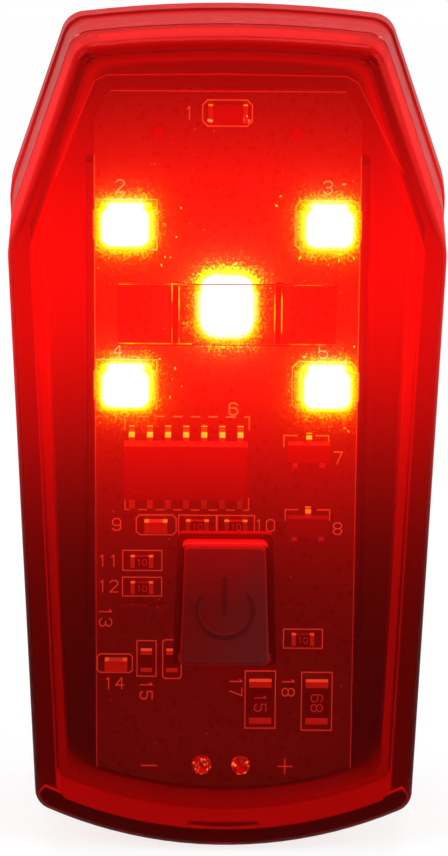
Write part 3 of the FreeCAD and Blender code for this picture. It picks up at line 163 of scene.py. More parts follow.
class Graph:
    """A node tree that is built up call by call, for a material or for the world."""

    def __init__(self, owner, output="ShaderNodeOutputMaterial"):
        owner.use_nodes = True
        self.owner = owner
        self.tree = owner.node_tree
        self.tree.nodes.clear()
        self.output = self.tree.nodes.new(output)
        self.coordinates = self.node("TexCoord").outputs
        self.place = self.coordinates["Object"]

    def node(self, kind, inputs=None, **settings):
        made = self.tree.nodes.new("ShaderNode" + kind)
        for key, value in settings.items():
            setattr(made, key, value)
        for key, value in (inputs or {}).items():
            self.feed(made.inputs[key], value)
        return made

    def feed(self, socket, value):
        if isinstance(value, bpy.types.NodeSocket):
            self.tree.links.new(value, socket)
        else:
            socket.default_value = value

    def math(self, operation, *values, clamp=False):
        made = self.node("Math", dict(enumerate(values)), operation=operation)
        made.use_clamp = clamp
        return made.outputs[0]

    def plus(self, first, second):
        return self.math("ADD", first, second)

    def minus(self, first, second):
        return self.math("SUBTRACT", first, second)

    def times(self, first, second):
        return self.math("MULTIPLY", first, second)

    def times_plus(self, first, second, base):
        return self.math("MULTIPLY_ADD", first, second, base)

    def above_zero(self, value):
        return self.math("MAXIMUM", value, 0.0)

    def noise(self, scale, detail=3.0, stretch=None):
        place = self.place
        if stretch:
            place = self.node("Mapping", {"Vector": place, "Scale": stretch}).outputs[0]
        return self.node("TexNoise", {"Vector": place, "Scale": scale, "Detail": detail,
                                      "Roughness": 0.5}).outputs["Fac"]

    def ramp(self, value, low, high, to_low=0.0, to_high=1.0):
        limits = {0: value, 1: low, 2: high, 3: to_low, 4: to_high}
        return self.node("MapRange", limits).outputs[0]

    def mix(self, factor, first, second):
        made = self.node("Mix", data_type="RGBA")
        self.feed(made.inputs["Factor"], factor)
        self.feed(made.inputs["A"], first)
        self.feed(made.inputs["B"], second)
        return made.outputs["Result"]

    def mix_shaders(self, factor, first, second):
        return self.node("MixShader", {0: factor, 1: first.outputs[0], 2: second.outputs[0]})

    def bump(self, height, strength, distance):
        return self.node("Bump", {"Height": height, "Strength": strength,
                                  "Distance": distance}).outputs[0]

    def principled(self, **inputs):
        named = {key.replace("_", " ").title().replace("Ior", "IOR"): value
                 for key, value in inputs.items()}
        return self.node("BsdfPrincipled", named)

    def out(self, shader):
        self.tree.links.new(shader.outputs[0], self.output.inputs["Surface"])
        return self.owner

    def spot(self):
        """The place on the part, in millimetres."""
        wide = self.node("Mapping", {"Vector": self.place, "Scale": (1 / MM, 1 / MM, 1 / MM)})
        return self.node("SeparateXYZ", {0: wide.outputs[0]}).outputs

    def facing(self, axis="Z"):
        """How far a face looks up, or along another axis."""
        normal = self.node("NewGeometry").outputs["Normal"]
        return self.node("SeparateXYZ", {0: normal}).outputs[axis]

    def light(self, red, green, blue):
        return self.node("CombineXYZ", {0: red, 1: green, 2: blue}).outputs[0]

    def red_light(self, level, green, blue):
        """Light of a given level, with small shares of green and blue."""
        return self.light(level, self.times(level, green), self.times(level, blue))

    def field(self, above=1.3):
        """How strongly the board's painted glow reaches a place: full at one height, then falling.

        above is how much faster it falls upwards than downwards.
        """
        spot = self.spot()
        rise = self.minus(spot["Z"], FIELD_MIDDLE)
        low = self.above_zero(self.times(rise, -1.0))
        high = self.times(self.above_zero(rise), above)
        along = self.plus(low, high)
        across = self.times(spot["X"], FIELD_SIDEWAYS)
        far = self.plus(self.times(along, along), self.times(across, across))
        return self.math("EXPONENT", self.math("DIVIDE", far, -FIELD_SPREAD))

    def fringe(self, drop):
        """Distances from the outer emitters and from the middle one, as rounded boxes.

        drop is how far the boxes move and stretch downwards, in millimetres.
        """
        spot = self.spot()
        grain = self.ramp(self.noise(6500, 2.0), 0.3, 0.7, 0.6, 1.5)
        across = self.math("ABSOLUTE", spot["X"])
        level = EMITTER_MIDDLE + EMITTER_LIFT - drop
        up = self.math("ABSOLUTE", self.minus(spot["Z"], level))
        fars = []
        for column, row, wider in ((EMITTER_COLUMN, EMITTER_ROW, 0.0), (0.0, 0.0, MIDDLE_WIDER)):
            parts = []
            for value, middle, half in ((across, column, EMITTER_HALF_X),
                                        (up, row, EMITTER_HALF_Z + wider + drop)):
                off = self.math("ABSOLUTE", self.minus(value, middle))
                straight = half + wider / 2 - EMITTER_CORNER - wider
                parts.append(self.above_zero(self.minus(off, straight)))
            square = self.plus(self.times(parts[0], parts[0]), self.times(parts[1], parts[1]))
            far = self.minus(self.math("SQRT", square), EMITTER_CORNER + wider)
            fars.append(self.times(self.above_zero(far), grain))
        return fars

    def fall(self, far, reach):
        """A soft fall to nothing over a reach in millimetres."""
        share = self.math("DIVIDE", far, reach)
        return self.math("EXPONENT", self.times(self.times(share, share), -1.0))

    def round_emitters(self, outer, middle, fringe, halo):
        """Painted light round the outer emitters and the middle one."""
        reach, at_middle, at_others = fringe
        return self.times_plus(self.fall(middle, reach), at_middle * halo,
                               self.times(self.fall(outer, reach), at_others * halo))

    def glow(self, wide=1.0, halo=1.0, floor=0.0, drop=0.0, pale=0.0, tops=1.0, gold=0.0,
             lift=0.0, broken=False):
        """The painted glow: the red light of the lit field, and the yellow fringes that run round
        the emitters, painted as emission.

        wide is the share of the field's light, halo that of the fringes, and floor a red that
        is there everywhere. drop moves the fringes down. tops is the gain of the painted light on
        faces that look up. pale is a faint white everywhere, gold a yellow that goes with the
        field, and lift a painted yellow highlight on the faces that look up alone. Where it is
        broken, the yellow comes and goes along the piece.
        """
        outer, middle = self.fringe(drop)
        field = self.field()
        gain = self.ramp(self.facing(), 0.0, 1.0, 1.0, tops)
        red = self.times(self.times_plus(field, wide, floor), gain)
        reach, at_middle, at_others = RED_FRINGE
        red = self.times_plus(self.fall(outer, reach), at_others * halo, red)
        red = self.times_plus(self.fall(middle, reach), at_middle * halo, red)
        green = self.round_emitters(outer, middle, YELLOW_FRINGE, halo)
        reach, at_middle, at_others = YELLOW_HAZE
        green = self.times_plus(self.fall(middle, reach), at_middle * halo, green)
        green = self.times_plus(self.fall(outer, reach), at_others * halo, green)
        blue = self.round_emitters(outer, middle, WHITE_FRINGE, halo)
        green = self.times_plus(gain, pale, green)
        blue = self.times_plus(gain, pale * 0.5, blue)
        yellow = self.times(self.times(field, field), gold)
        if lift:
            bright = self.math("POWER", self.above_zero(self.facing()), 1.5)
            yellow = self.times_plus(self.times(bright, self.plus(field, 0.01)), lift, yellow)
        if broken:
            along = self.ramp(self.noise(700, 3.0), 0.42, 0.62, 0.06, 1.5)
            yellow = self.times(yellow, along)
        green = self.plus(green, yellow)
        return self.light(red, green, blue)


# Materials

def new_graph(name):
    """The empty node tree of a new material."""
    return Graph(bpy.data.materials.new(name))


def scaled(colour, share=1.0):
    """A colour socket's four values, at a share of the colour's strength."""
    return (*[c * share for c in colour], 1)


def clear_red():
    """Clear red plastic, dyed through: a painted glow stands in for the emitters' light that its
    walls carry.
    """
    g = new_graph("clear_red_lens")
    waves = g.noise(90, 2.0, stretch=(1, 1, 0.35))
    wavy = g.bump(waves, 0.04, 0.0002)
    wall = g.ramp(g.math("ABSOLUTE", g.facing("Y")), 0.1, 0.95, 1.0, 0.0)
    # the walls' painted glow, fuller near the board's light and higher up
    reach = g.field(0.6)
    spot = g.spot()
    carried = g.times(wall, g.ramp(spot["Z"], *WALL_LIGHT_RISE, 0.5, 0.85))
    level = g.times(reach, g.plus(carried, 0.1))
    level = g.times_plus(wall, 0.055, level)
    # painted light on the wall of the key's hole, where the board's light would edge it
    near = g.math("LESS_THAN", g.math("ABSOLUTE", spot["X"]), KEY_HOLE_HALF)
    low = g.math("LESS_THAN", spot["Z"], KEY_HOLE_TOP)
    high = g.math("GREATER_THAN", spot["Z"], KEY_HOLE_FOOT)
    hole = g.times(g.times(near, low), high)
    sides = g.ramp(spot["Z"], *HOLE_SIDES_RISE, 0.12, 0.38)
    brow = g.ramp(spot["Z"], *HOLE_BROW_RISE, 0.0, 0.9)
    level = g.times_plus(g.times(hole, wall), g.plus(sides, brow), level)
    # painted shade: the walls' tint passes less light, so the sides look darker
    painted_wall_shade = g.mix(wall, (1, 1, 1, 1), (0.62, 0.62, 0.62, 1))
    shine = g.red_light(level, 0.02, 0.018)
    shader = g.principled(base_color=painted_wall_shade, roughness=CLEAR_ROUGH, ior=CLEAR_IOR,
                          transmission_weight=1.0, specular_tint=(1.0, 0.12, 0.1, 1),
                          normal=wavy, emission_color=shine, emission_strength=1.0)
    # refraction alone keeps the walls free of a white band
    bent = g.node("BsdfRefraction", {"Color": painted_wall_shade, "Roughness": CLEAR_ROUGH, "IOR": CLEAR_IOR,
                                     "Normal": wavy})
    body = g.mix_shaders(g.ramp(wall, 0.0, 1.0, 0.65, 0.96), shader, bent)
    # painted light: what refraction loses at total reflection is made up here as a glow
    filled = g.node("Emission", {"Color": shine, "Strength": 0.9})
    body = g.node("AddShader", {0: body.outputs[0], 1: filled.outputs[0]})
    clear = g.node("BsdfTransparent", {0: CLEAR_SHADOW})
    both = g.mix_shaders(g.node("LightPath").outputs["Is Shadow Ray"], body, clear)
    volume = g.node("VolumeAbsorption", {"Color": CLEAR_RED, "Density": CLEAR_DENSITY})
    g.tree.links.new(volume.outputs[0], g.output.inputs["Volume"])
    return g.out(both)


def lend_glow(g, shader, glow):
    """The board's light painted on a piece as a glow, where it gets any."""
    if glow:
        g.feed(shader.inputs["Emission Color"], g.glow(**glow))
        shader.inputs["Emission Strength"].default_value = 1.0


def plastic(name, colour, dark, rough=0.35, grain=900, depth=0.00002, glow=None):
    """A dull piece: clouded between two colours, with a fine grain."""
    g = new_graph(name)
    shade = g.mix(g.noise(grain * 0.25, 3.0), scaled(dark), scaled(colour))
    fine = g.noise(grain, 3.0)
    shader = g.principled(base_color=shade,
                          roughness=g.ramp(fine, 0.3, 0.7, rough - 0.05, rough + 0.07),
                          normal=g.bump(fine, 0.35, depth))
    lend_glow(g, shader, glow)
    return g.out(shader)


def metal(name, colour, rough=0.25, grain=3000, glow=None):
    """A bright piece, a little darker in its grain."""
    g = new_graph(name)
    fine = g.noise(grain, 3.0)
    shader = g.principled(base_color=g.mix(fine, scaled(colour, 0.8), scaled(colour)),
                          metallic=1.0, roughness=g.ramp(fine, 0.3, 0.7, rough, rough + 0.15),
                          normal=g.bump(fine, 0.5, 0.00003))
    lend_glow(g, shader, glow)
    return g.out(shader)


def lit(name, colour):
    """A lit emitter: white where its light is strongest, yellow at its rounded corners."""
    g = new_graph(name)
    shade = g.mix(g.noise(2500, 2.0), scaled(colour, 0.9), scaled(colour))
    shader = g.principled(base_color=shade, roughness=0.4, emission_color=g.glow(1.7, 1.3),
                          emission_strength=1.0)
    return g.out(shader)


def shell_plastic():
    """Red housing plastic, with the board's light painted on as a glow inside it and, weaker,
    through its walls.
    """
    g = new_graph("red_shell_plastic")
    fine = g.noise(900, 3.0)
    shade = g.mix(g.noise(200, 3.0), (0.24, 0.005, 0.005, 1), (0.31, 0.007, 0.007, 1))
    normal = g.node("NewGeometry").outputs["Normal"]
    flat = g.node("Mapping", {"Vector": g.place, "Scale": (1 / MM, 0, 1 / MM)}).outputs[0]
    product = g.node("VectorMath", {0: normal, 1: flat}, operation="DOT_PRODUCT")
    outward = product.outputs["Value"]
    deep = g.math("LESS_THAN", g.spot()["Y"], SEAM)
    inside = g.times(g.math("LESS_THAN", outward, 0.5), deep)
    inside = g.math("MAXIMUM", inside, g.math("LESS_THAN", g.facing("Y"), -0.5))
    above = g.above_zero(g.facing())
    # painted glow: through the walls it is stronger on faces that look up, and inside it is fuller
    through = g.times(g.field(0.6), g.times_plus(above, 0.5, 0.12))
    within = g.times_plus(g.field(1.25), 0.75, 0.02)
    level = g.plus(g.times(inside, within), g.times(g.minus(1.0, inside), through))
    shader = g.principled(base_color=shade, roughness=g.ramp(fine, 0.3, 0.7, 0.4, 0.5),
                          specular_ior_level=0.03, normal=g.bump(fine, 0.3, 0.00002),
                          emission_color=g.red_light(level, 0.01, 0.01), emission_strength=1.0)
    return g.out(shader)


def soft_key(name="red_silicone", shown=1.0):
    """Matte red silicone with painted light: greyer to the lower right by a painted reflection,
    darker downwards by painted shade, and lit on its upper side by a painted glow from the board.

    shown is the share of its brightness, which gives a raised sign painted shade that tells it from
    the key round it.
    """
    g = new_graph(name)
    spot = g.spot()
    # painted shade darker downwards, and a painted reflection greyer beyond a slanting line
    slant = g.minus(spot["X"], g.times_plus(spot["Z"], KEY_SLANT, KEY_SLANT_AT))
    shaded_downwards = g.mix(g.ramp(spot["Z"], *KEY_DARKENS), (0.19 * shown, 0.002, 0.002, 1),
                 (0.095 * shown, 0.002, 0.002, 1))
    painted_reflection_grey = (0.075 * shown, 0.006 * shown, 0.006 * shown, 1)
    shade = g.mix(g.ramp(slant, *KEY_REFLECTION_GREYS), shaded_downwards, painted_reflection_grey)
    fine = g.noise(2600, 3.0)
    # painted glow from the board on faces that look up, and a little on the sides
    lifted = g.math("POWER", g.above_zero(g.facing()), 2.0)
    sideways = g.times(g.math("ABSOLUTE", g.facing("X")), 0.12)
    level = g.times_plus(lifted, 0.55, sideways)
    shader = g.principled(base_color=shade, roughness=g.ramp(fine, 0.3, 0.7, 0.5, 0.62),
                          specular_ior_level=0.01, normal=g.bump(fine, 0.4, 0.00001),
                          emission_color=g.red_light(level, 0.006, 0.005),
                          emission_strength=1.0)
    return g.out(shader)


def solder():
    """A solder dome, with a painted red glow and painted sparkling spots where its skin would throw
    back the emitters.
    """
    g = new_graph("solder_dome")
    fine = g.noise(3000, 3.0)
    cells = g.node("TexVoronoi", {"Vector": g.place, "Scale": 5200.0}).outputs["Distance"]
    bright = g.math("POWER", g.ramp(cells, 0.28, 0.05), 2.0)
    patch = g.ramp(g.noise(1500, 2.0), 0.48, 0.62)
    sparkle = g.times(bright, patch)
    red = g.times_plus(sparkle, 3.0, g.ramp(fine, 0.35, 0.65, 0.03, 0.35))
    shine = g.light(red, g.times(sparkle, 70.0), g.times(sparkle, 22.0))
    shader = g.principled(base_color=g.mix(fine, (0.5, 0.48, 0.46, 1), (0.7, 0.68, 0.66, 1)),
                          metallic=1.0, roughness=g.ramp(fine, 0.3, 0.7, 0.3, 0.5),
                          normal=g.bump(fine, 0.8, 0.00008), emission_color=shine,
                          emission_strength=1.0)
    return g.out(shader)


def spark(name, colour):
    """A grain with a painted glint, which glows as if it threw the emitters' light straight back.
    """
    g = new_graph(name)
    fine = g.noise(2500, 2.0)
    shine = g.mix(fine, scaled(colour, 0.6), scaled(colour, 1.3))
    shader = g.principled(base_color=g.mix(fine, (0.7, 0.66, 0.6, 1), (0.85, 0.8, 0.72, 1)),
                          roughness=0.4, emission_color=shine, emission_strength=30.0)
    return g.out(shader)


# every glow below is painted light: the board's light painted on a piece as emission, stronger on
# faces that look up where tops is given
materials = {
    "clear_red": clear_red(),
    "red_plastic": shell_plastic(),
    "seal": plastic("pale_seal", (0.6, 0.14, 0.12), (0.52, 0.1, 0.09), 0.45,
                    glow={"wide": 0.5, "halo": 0.0}),
    "board": plastic("board_mask", (0.05, 0.06, 0.035), (0.04, 0.048, 0.028), 0.3, 2500,
                     glow={"wide": 1.35, "floor": 0.045, "drop": 0.25, "pale": 0.05,
                           "gold": 0.3}),
    "package_white": lit("emitter_package", (0.9, 0.85, 0.75)),
    "phosphor_window": lit("emitter_window", (0.95, 0.75, 0.3)),
    "moulded_black": plastic("moulded_black", (0.03, 0.028, 0.03), (0.02, 0.02, 0.022), 0.5, 3000,
                             glow={"wide": 1.75, "floor": 0.045, "pale": 0.05, "tops": 1.6,
                                   "gold": 0.3}),
    # the tinned metal also gets a painted yellow highlight on faces that look up
    "tinned": metal("tinned_metal", (0.52, 0.4, 0.3), 0.4,
                    glow={"wide": 1.15, "floor": 0.1, "pale": 0.4, "tops": 8.0, "gold": 3.0,
                          "lift": 110.0}),
    "resistor_glaze": plastic("resistor_glaze", (0.04, 0.04, 0.05), (0.03, 0.03, 0.035), 0.35,
                              3000, glow={"wide": 1.2, "floor": 0.035, "tops": 4.0}),
    "capacitor_ceramic": plastic("capacitor_ceramic", (0.5, 0.36, 0.22), (0.42, 0.3, 0.18), 0.4,
                                 3000, glow={"wide": 0.9, "floor": 0.05, "pale": 0.3,
                                             "tops": 5.0}),
    "nickel_shell": metal("nickel_shell", (0.85, 0.82, 0.76), 0.28),
    "cell_foil": metal("cell_foil", (0.8, 0.81, 0.83), 0.3, 600),
    "foam": plastic("foam", (0.25, 0.25, 0.26), (0.2, 0.2, 0.21), 0.9, 1500),
    "black_wire": plastic("black_wire", (0.02, 0.02, 0.022), (0.015, 0.015, 0.016), 0.45),
    "red_wire": plastic("red_wire", (0.6, 0.02, 0.015), (0.5, 0.015, 0.01), 0.45),
    "dark_rubber": plastic("dark_rubber", (0.03, 0.029, 0.029), (0.022, 0.021, 0.021), 0.7, 2200),
    "steel": metal("spring_steel", (0.75, 0.76, 0.78), 0.22, 1500),
    "red_silicone": soft_key(),
    "clip_plastic": plastic("clip_plastic", (0.035, 0.034, 0.035), (0.026, 0.025, 0.026), 0.5,
                            1800, depth=0.00004),
}


def repaint(name, material):
    """One material for a whole piece of the model, in place of its slot's own."""
    for place in nodes[name].material_slots:
        place.material = material


for node in nodes.values():
    for place in node.material_slots:
        place.material = materials[place.material.name.split(".")[0]]
# the unlit indicator and the emitters' contacts get the board's painted glow too
repaint("indicator_lamp", plastic("unlit_indicator", (0.3, 0.07, 0.05), (0.24, 0.05, 0.04), 0.4,
                                  3000, glow={"wide": 0.8, "floor": 0.05}))
repaint("solder_joints", solder())
repaint("led_contacts", metal("emitter_contact", (0.7, 0.66, 0.6), 0.34,
                              glow={"wide": 1.35, "floor": 0.05, "drop": 0.25}))

# Inks and lights of the drawn strokes and of the dust, each with the board's light painted on it
# as a glow; the edge, contour and optic lights are painted highlights
legend_ink = plastic("legend_ink", (0.75, 0.7, 0.65), (0.66, 0.6, 0.56), 0.5, 3000,
                     glow={"halo": 0.5, "floor": 0.21, "pale": 1.7, "gold": 34.0})
faint_ink = plastic("faint_ink", (0.6, 0.5, 0.45), (0.5, 0.42, 0.38), 0.5, 3000,
                    glow={"wide": 0.8, "halo": 0.5, "floor": 0.11, "pale": 0.7, "gold": 12.0})
edge_light = plastic("edge_light", (0.7, 0.5, 0.45), (0.6, 0.42, 0.4), 0.4, 3000,
                     glow={"wide": 1.4, "halo": 0.3, "floor": 0.16, "pale": 1.0, "gold": 9.0})
contour_light = plastic("contour_light", (0.7, 0.5, 0.45), (0.6, 0.42, 0.4), 0.4, 3000,
                        glow={"wide": 0.4, "halo": 0.0, "floor": 0.13, "pale": 0.8})
optic_light = plastic("optic_light", (0.8, 0.4, 0.3), (0.7, 0.35, 0.28), 0.4, 3000,
                      glow={"wide": 1.6, "halo": 0.0, "floor": 0.3, "pale": 0.3, "gold": 130.0,
                            "broken": True})
dust_light = plastic("dust_light", (0.8, 0.6, 0.4), (0.7, 0.5, 0.35), 0.4, 3000,
                     glow={"wide": 1.8, "halo": 0.5, "floor": 0.5, "pale": 4.0, "gold": 80.0})
glint = spark("solder_glint", (0.08, 1.0, 0.3))


def mesh_piece(name, vertices, faces, material, body, smooth=False):
    """A piece of the picture, in metres, that rides on one of the model's bodies."""
    mesh = bpy.data.meshes.new(name)
    mesh.from_pydata([tuple(v) for v in vertices], [], faces)
    mesh.validate()
    mesh.update()
    mesh.materials.append(material)
    if smooth:
        mesh.polygons.foreach_set("use_smooth", [True] * len(mesh.polygons))
    piece = bpy.data.objects.new(name, mesh)
    bpy.context.scene.collection.objects.link(piece)
    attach(piece, body)


# Legend on the board, in millimetres

# strokes of the digits, on a grid four wide and six high
DIGITS = {
    "0": [[(1, 0), (3, 0), (4, 1), (4, 5), (3, 6), (1, 6), (0, 5), (0, 1), (1, 0)]],
    "1": [[(1, 5), (2, 6), (2, 0)]],
    "2": [[(0, 5), (1, 6), (3, 6), (4, 5), (4, 4), (0, 0), (4, 0)]],
    "3": [[(0, 5), (1, 6), (3, 6), (4, 5), (4, 4), (3, 3), (4, 2), (4, 1), (3, 0), (1, 0), (0, 1)],
          [(1.5, 3), (3, 3)]],
    "4": [[(3, 0), (3, 6), (0, 2), (4, 2)]],
    "5": [[(4, 6), (0, 6), (0, 3.5), (3, 3.5), (4, 2.5), (4, 1), (3, 0), (1, 0), (0, 1)]],
    "6": [[(4, 5), (3, 6), (1, 6), (0, 5), (0, 1), (1, 0), (3, 0), (4, 1), (4, 2.5), (3, 3.5),
           (0, 3.5)]],
    "7": [[(0, 6), (4, 6), (1.5, 0)]],
    "8": [[(1, 3), (0, 4), (0, 5), (1, 6), (3, 6), (4, 5), (4, 4), (3, 3), (1, 3), (0, 2), (0, 1),
           (1, 0), (3, 0), (4, 1), (4, 2), (3, 3)]],
    "9": [[(0, 1), (1, 0), (3, 0), (4, 1), (4, 5), (3, 6), (1, 6), (0, 5), (0, 3.5), (1, 2.5),
           (4, 2.5)]],
}
STROKE_RISE = 0.03
THIN_RISE = 0.02
LEGEND_WIDTH = 0.075
DIGIT_HIGH = 6
DIGIT_STEP = 5.6
DIGIT_SPACE = 1.6

# frames round the parts, as left, right, low and high edges and the cut of their corners
PART_FRAMES = (
    (-1.75, 1.65, 19.6, 21.4, 0.35), (-9.08, -4.87, 10.93, 14.47, 0.0),
    (4.71, 9.1, 10.93, 14.47, 0.4), (-9.1, -4.87, -0.42, 3.12, 0.0),
    (4.61, 9.06, -0.47, 3.05, 0.4), (-6.31, -3.48, -9.64, -8.18, 0.25),
    (-3.30, -0.64, -9.64, -8.18, 0.0), (-0.57, 2.06, -9.64, -8.18, 0.0),
    (-7.27, -4.49, -12.30, -10.81, 0.0), (-7.29, -4.50, -14.21, -12.81, 0.0),
    (4.22, 7.00, -18.05, -16.62, 0.0), (-6.26, -4.89, -20.25, -17.56, 0.0),
    (-4.42, -3.09, -20.41, -17.49, 0.15), (-9.1, -6.59, -19.98, -18.58, 0.2),
    (1.51, 3.68, -24.15, -19.80, 0.0), (5.56, 7.75, -24.28, -19.87, 0.0),
)

# brackets at both sides of the transistors: left edge, low and high end
TRANSISTOR_BRACKETS = ((4.08, -3.1, -2.29), (4.23, -8.5, -7.72))
BRACKET_SPAN = 3.15
BRACKET_ARM = 0.9

# the dashed frame round the controller chip
CHIP_LEFT = -7.1
CHIP_RIGHT = 1.63
CHIP_TOP = -0.98
CHIP_FOOT = -7.79
CHIP_TOP_CORNER = -1.9
CHIP_FOOT_CORNER = -6.9
CHIP_DASHES = 8
CHIP_DASH_STEP = 1.24
CHIP_DASH_HALF = 0.28

# the minus and the plus beside the solder joints
SIGN_STROKES = (
    ((-5.95, -27.08), (-4.85, -27.08)),
    ((3.9, -27.08), (4.95, -27.08)),
    ((4.42, -27.62), (4.42, -26.54)),
)

# the parts' numbers, counted from one: place, and whether it is turned a quarter
NUMBER_PLACES = (
    (-2.65, 20.5, False), (-7.4, 15.4, False), (6.9, 15.4, False), (-7.6, 3.75, False),
    (6.75, 3.75, False), (0.5, -0.4, False), (7.9, -3.9, False), (7.95, -9.1, False),
    (-7.7, -8.9, False), (2.8, -8.9, False), (-8.3, -11.6, False), (-8.3, -13.5, False),
    (-8.5, -15.8, True), (-7.9, -20.8, False), (-5.6, -21.3, True), (2.95, -17.4, False),
    (0.85, -21.0, True), (4.6, -21.0, True),
)
NUMBER_HIGH = 0.85

# plain numbers on the resistors
SMALL_MARK = 10
SMALL_MARK_PLACES = ((-1.97, -8.9), (0.75, -8.9), (-5.9, -11.55), (-5.9, -13.5), (5.6, -17.3))
SMALL_MARK_HIGH = 0.42
SMALL_MARK_WIDTH = 0.05
LARGE_MARKS = ((15, 2.6, -22.0), (68, 6.65, -22.0))
LARGE_MARK_HIGH = 0.8
LARGE_MARK_WIDTH = 0.07


def label(number, x, z, high, turned=False):
    """The strokes of a plain number, centred on a place, upright or turned a quarter."""
    grid = high / DIGIT_HIGH
    text = str(number)
    wide = (DIGIT_STEP * len(text) - DIGIT_SPACE) * grid
    runs = []
    for place, digit in enumerate(text):
        for run in DIGITS[digit]:
            points = [((DIGIT_STEP * place + a) * grid - wide / 2, (b - DIGIT_HIGH / 2) * grid)
                      for a, b in run]
            if turned:
                points = [(b, -a) for a, b in points]
            runs.append([(x + a, z + b) for a, b in points])
    return runs


def boxed(left, right, low, high, cut):
    """A drawn frame, with its corners cut where a cut is given."""
    if not cut:
        return [[(left, low), (right, low), (right, high), (left, high), (left, low)]]
    return [[(left + cut, low), (right - cut, low), (right, low + cut), (right, high - cut),
             (right - cut, high), (left + cut, high), (left, high - cut), (left, low + cut),
             (left + cut, low)]]


def strokes(name, runs, width, face, material, rise=STROKE_RISE):
    """Raised flat strokes along runs of points, in millimetres, on a plane that faces forwards."""
    vertices = []
    faces = []
    for run in runs:
        for (ax, az), (bx, bz) in zip(run, run[1:]):
            long = math.hypot(bx - ax, bz - az)
            dx, dz = (bx - ax) / long * width / 2, (bz - az) / long * width / 2
            corners = [(ax - dx + dz, az - dz - dx), (bx + dx + dz, bz + dz - dx),
                       (bx + dx - dz, bz + dz + dx), (ax - dx - dz, az - dz + dx)]
            first = len(vertices)
            for y in (face - rise, face):
                vertices += [(x * MM, y * MM, z * MM) for x, z in corners]
            faces.append(tuple(first + i for i in range(4)))
            faces += [(first + i, first + i + 4, first + (i + 1) % 4 + 4, first + (i + 1) % 4)
                      for i in range(4)]
    mesh_piece(name, vertices, faces, material, "housing")


def legend():
    """The board's printed frames, numbers and signs, and the marks on the resistors."""
    runs = []
    for part_frame in PART_FRAMES:
        runs += boxed(*part_frame)
    for left, low, high in TRANSISTOR_BRACKETS:
        right = left + BRACKET_SPAN
        runs.append([(left, low), (left, high), (left + BRACKET_ARM, high)])
        runs.append([(right, low), (right, high), (right - BRACKET_ARM, high)])
    for x in (CHIP_LEFT, CHIP_RIGHT):
        runs.append([(x, CHIP_FOOT), (x, CHIP_FOOT_CORNER)])
        runs.append([(x, CHIP_TOP), (x, CHIP_TOP_CORNER)])
    for number in range(CHIP_DASHES):
        x = CHIP_LEFT + CHIP_DASH_STEP * number
        for z in (CHIP_TOP, CHIP_FOOT):
            runs.append([(max(x - CHIP_DASH_HALF, CHIP_LEFT), z),
                         (min(x + CHIP_DASH_HALF, CHIP_RIGHT), z)])
    runs += SIGN_STROKES
    for number, (x, z, turned) in enumerate(NUMBER_PLACES, 1):
        runs += label(number, x, z, NUMBER_HIGH, turned)
    strokes("board_legend", runs, LEGEND_WIDTH, BOARD_FACE, legend_ink)
    marks = []
    for x, z in SMALL_MARK_PLACES:
        marks += label(SMALL_MARK, x, z, SMALL_MARK_HIGH)
    strokes("small_resistor_marks", marks, SMALL_MARK_WIDTH, SMALL_RESISTOR_FACE, faint_ink,
            THIN_RISE)
    marks = []
    for number, x, z in LARGE_MARKS:
        marks += label(number, x, z, LARGE_MARK_HIGH, True)
    strokes("large_resistor_marks", marks, LARGE_MARK_WIDTH, LARGE_RESISTOR_FACE, faint_ink,
            THIN_RISE)


# Painted highlight lines, in millimetres

# painted highlights on the board's edges: its two sides and its upper edge
BOARD_EDGES = (
    ((-9.17, 17.5), (-9.17, -27.2)),
    ((9.17, 17.5), (9.17, -27.2)),
    ((-8.0, 22.0), (8.0, 22.0)),
)
BOARD_EDGE_WIDTH = 0.05
# painted highlights on the edges of the optic bar and of its two ribs
OPTIC_LOW = 5.55
OPTIC_HIGH = 9.68
OPTIC_INNER = 2.4
OPTIC_OUTER = 7.3
RIB_EDGES = ((-3.72, 9.6), (-3.24, 9.5), (3.24, 9.6), (3.72, 9.5))
OPTIC_EDGE_WIDTH = 0.07
# the painted highlight on the edge of the lens's front wall, along its top and its slants
LENS_CONTOUR = ((-11.5, 17.1), (-10.2, 20.5), (-8.9, 23.5), (-8.1, 23.9), (-0.2, 24.0),
                (7.8, 23.9), (8.6, 23.5), (10.3, 20.2), (11.7, 17.5))
CONTOUR_WIDTH = 0.045


def light_lines():
    """Painted highlights along the edges of the board, of the optic bar and of the lens."""
    strokes("board_edge_lines", BOARD_EDGES, BOARD_EDGE_WIDTH, BOARD_FACE, edge_light)
    runs = []
    for z in (OPTIC_LOW, OPTIC_HIGH):
        runs += [[(-OPTIC_OUTER, z), (-OPTIC_INNER, z)], [(OPTIC_INNER, z), (OPTIC_OUTER, z)]]
    for x, top in RIB_EDGES:
        runs.append([(x, OPTIC_LOW), (x, top)])
    strokes("optic_edge_lines", runs, OPTIC_EDGE_WIDTH, OPTIC_FACE, optic_light,
            THIN_RISE)
    strokes("lens_contour_lines", [LENS_CONTOUR], CONTOUR_WIDTH, LENS_INNER_FACE,
            contour_light, THIN_RISE)


# Dust, which glows with painted light, and painted glints, in millimetres

# dust round an emitter: how many grains, and how far off they lie
EMITTER_DUST = 17
EMITTER_DUST_FAR = (2.4, 4.2)
EMITTER_DUST_FLAT = 0.85
EMITTER_DUST_SIZES = (0.03, 0.1)
# dust all over the board
BOARD_HALF = 9.1
BOARD_DUST = 90
BOARD_DUST_ACROSS = (-9, 9)
BOARD_DUST_UP = (-27, 21.5)
BOARD_DUST_SIZES = (0.02, 0.05)
# painted glints on the solder domes, which narrow as they rise
DOME_GLINTS = 14
DOME_RISE = (0.1, 0.95)
DOME_REACH = 0.7
DOME_NARROWS = 0.4
DOME_GLINT_SIZES = (0.03, 0.085)
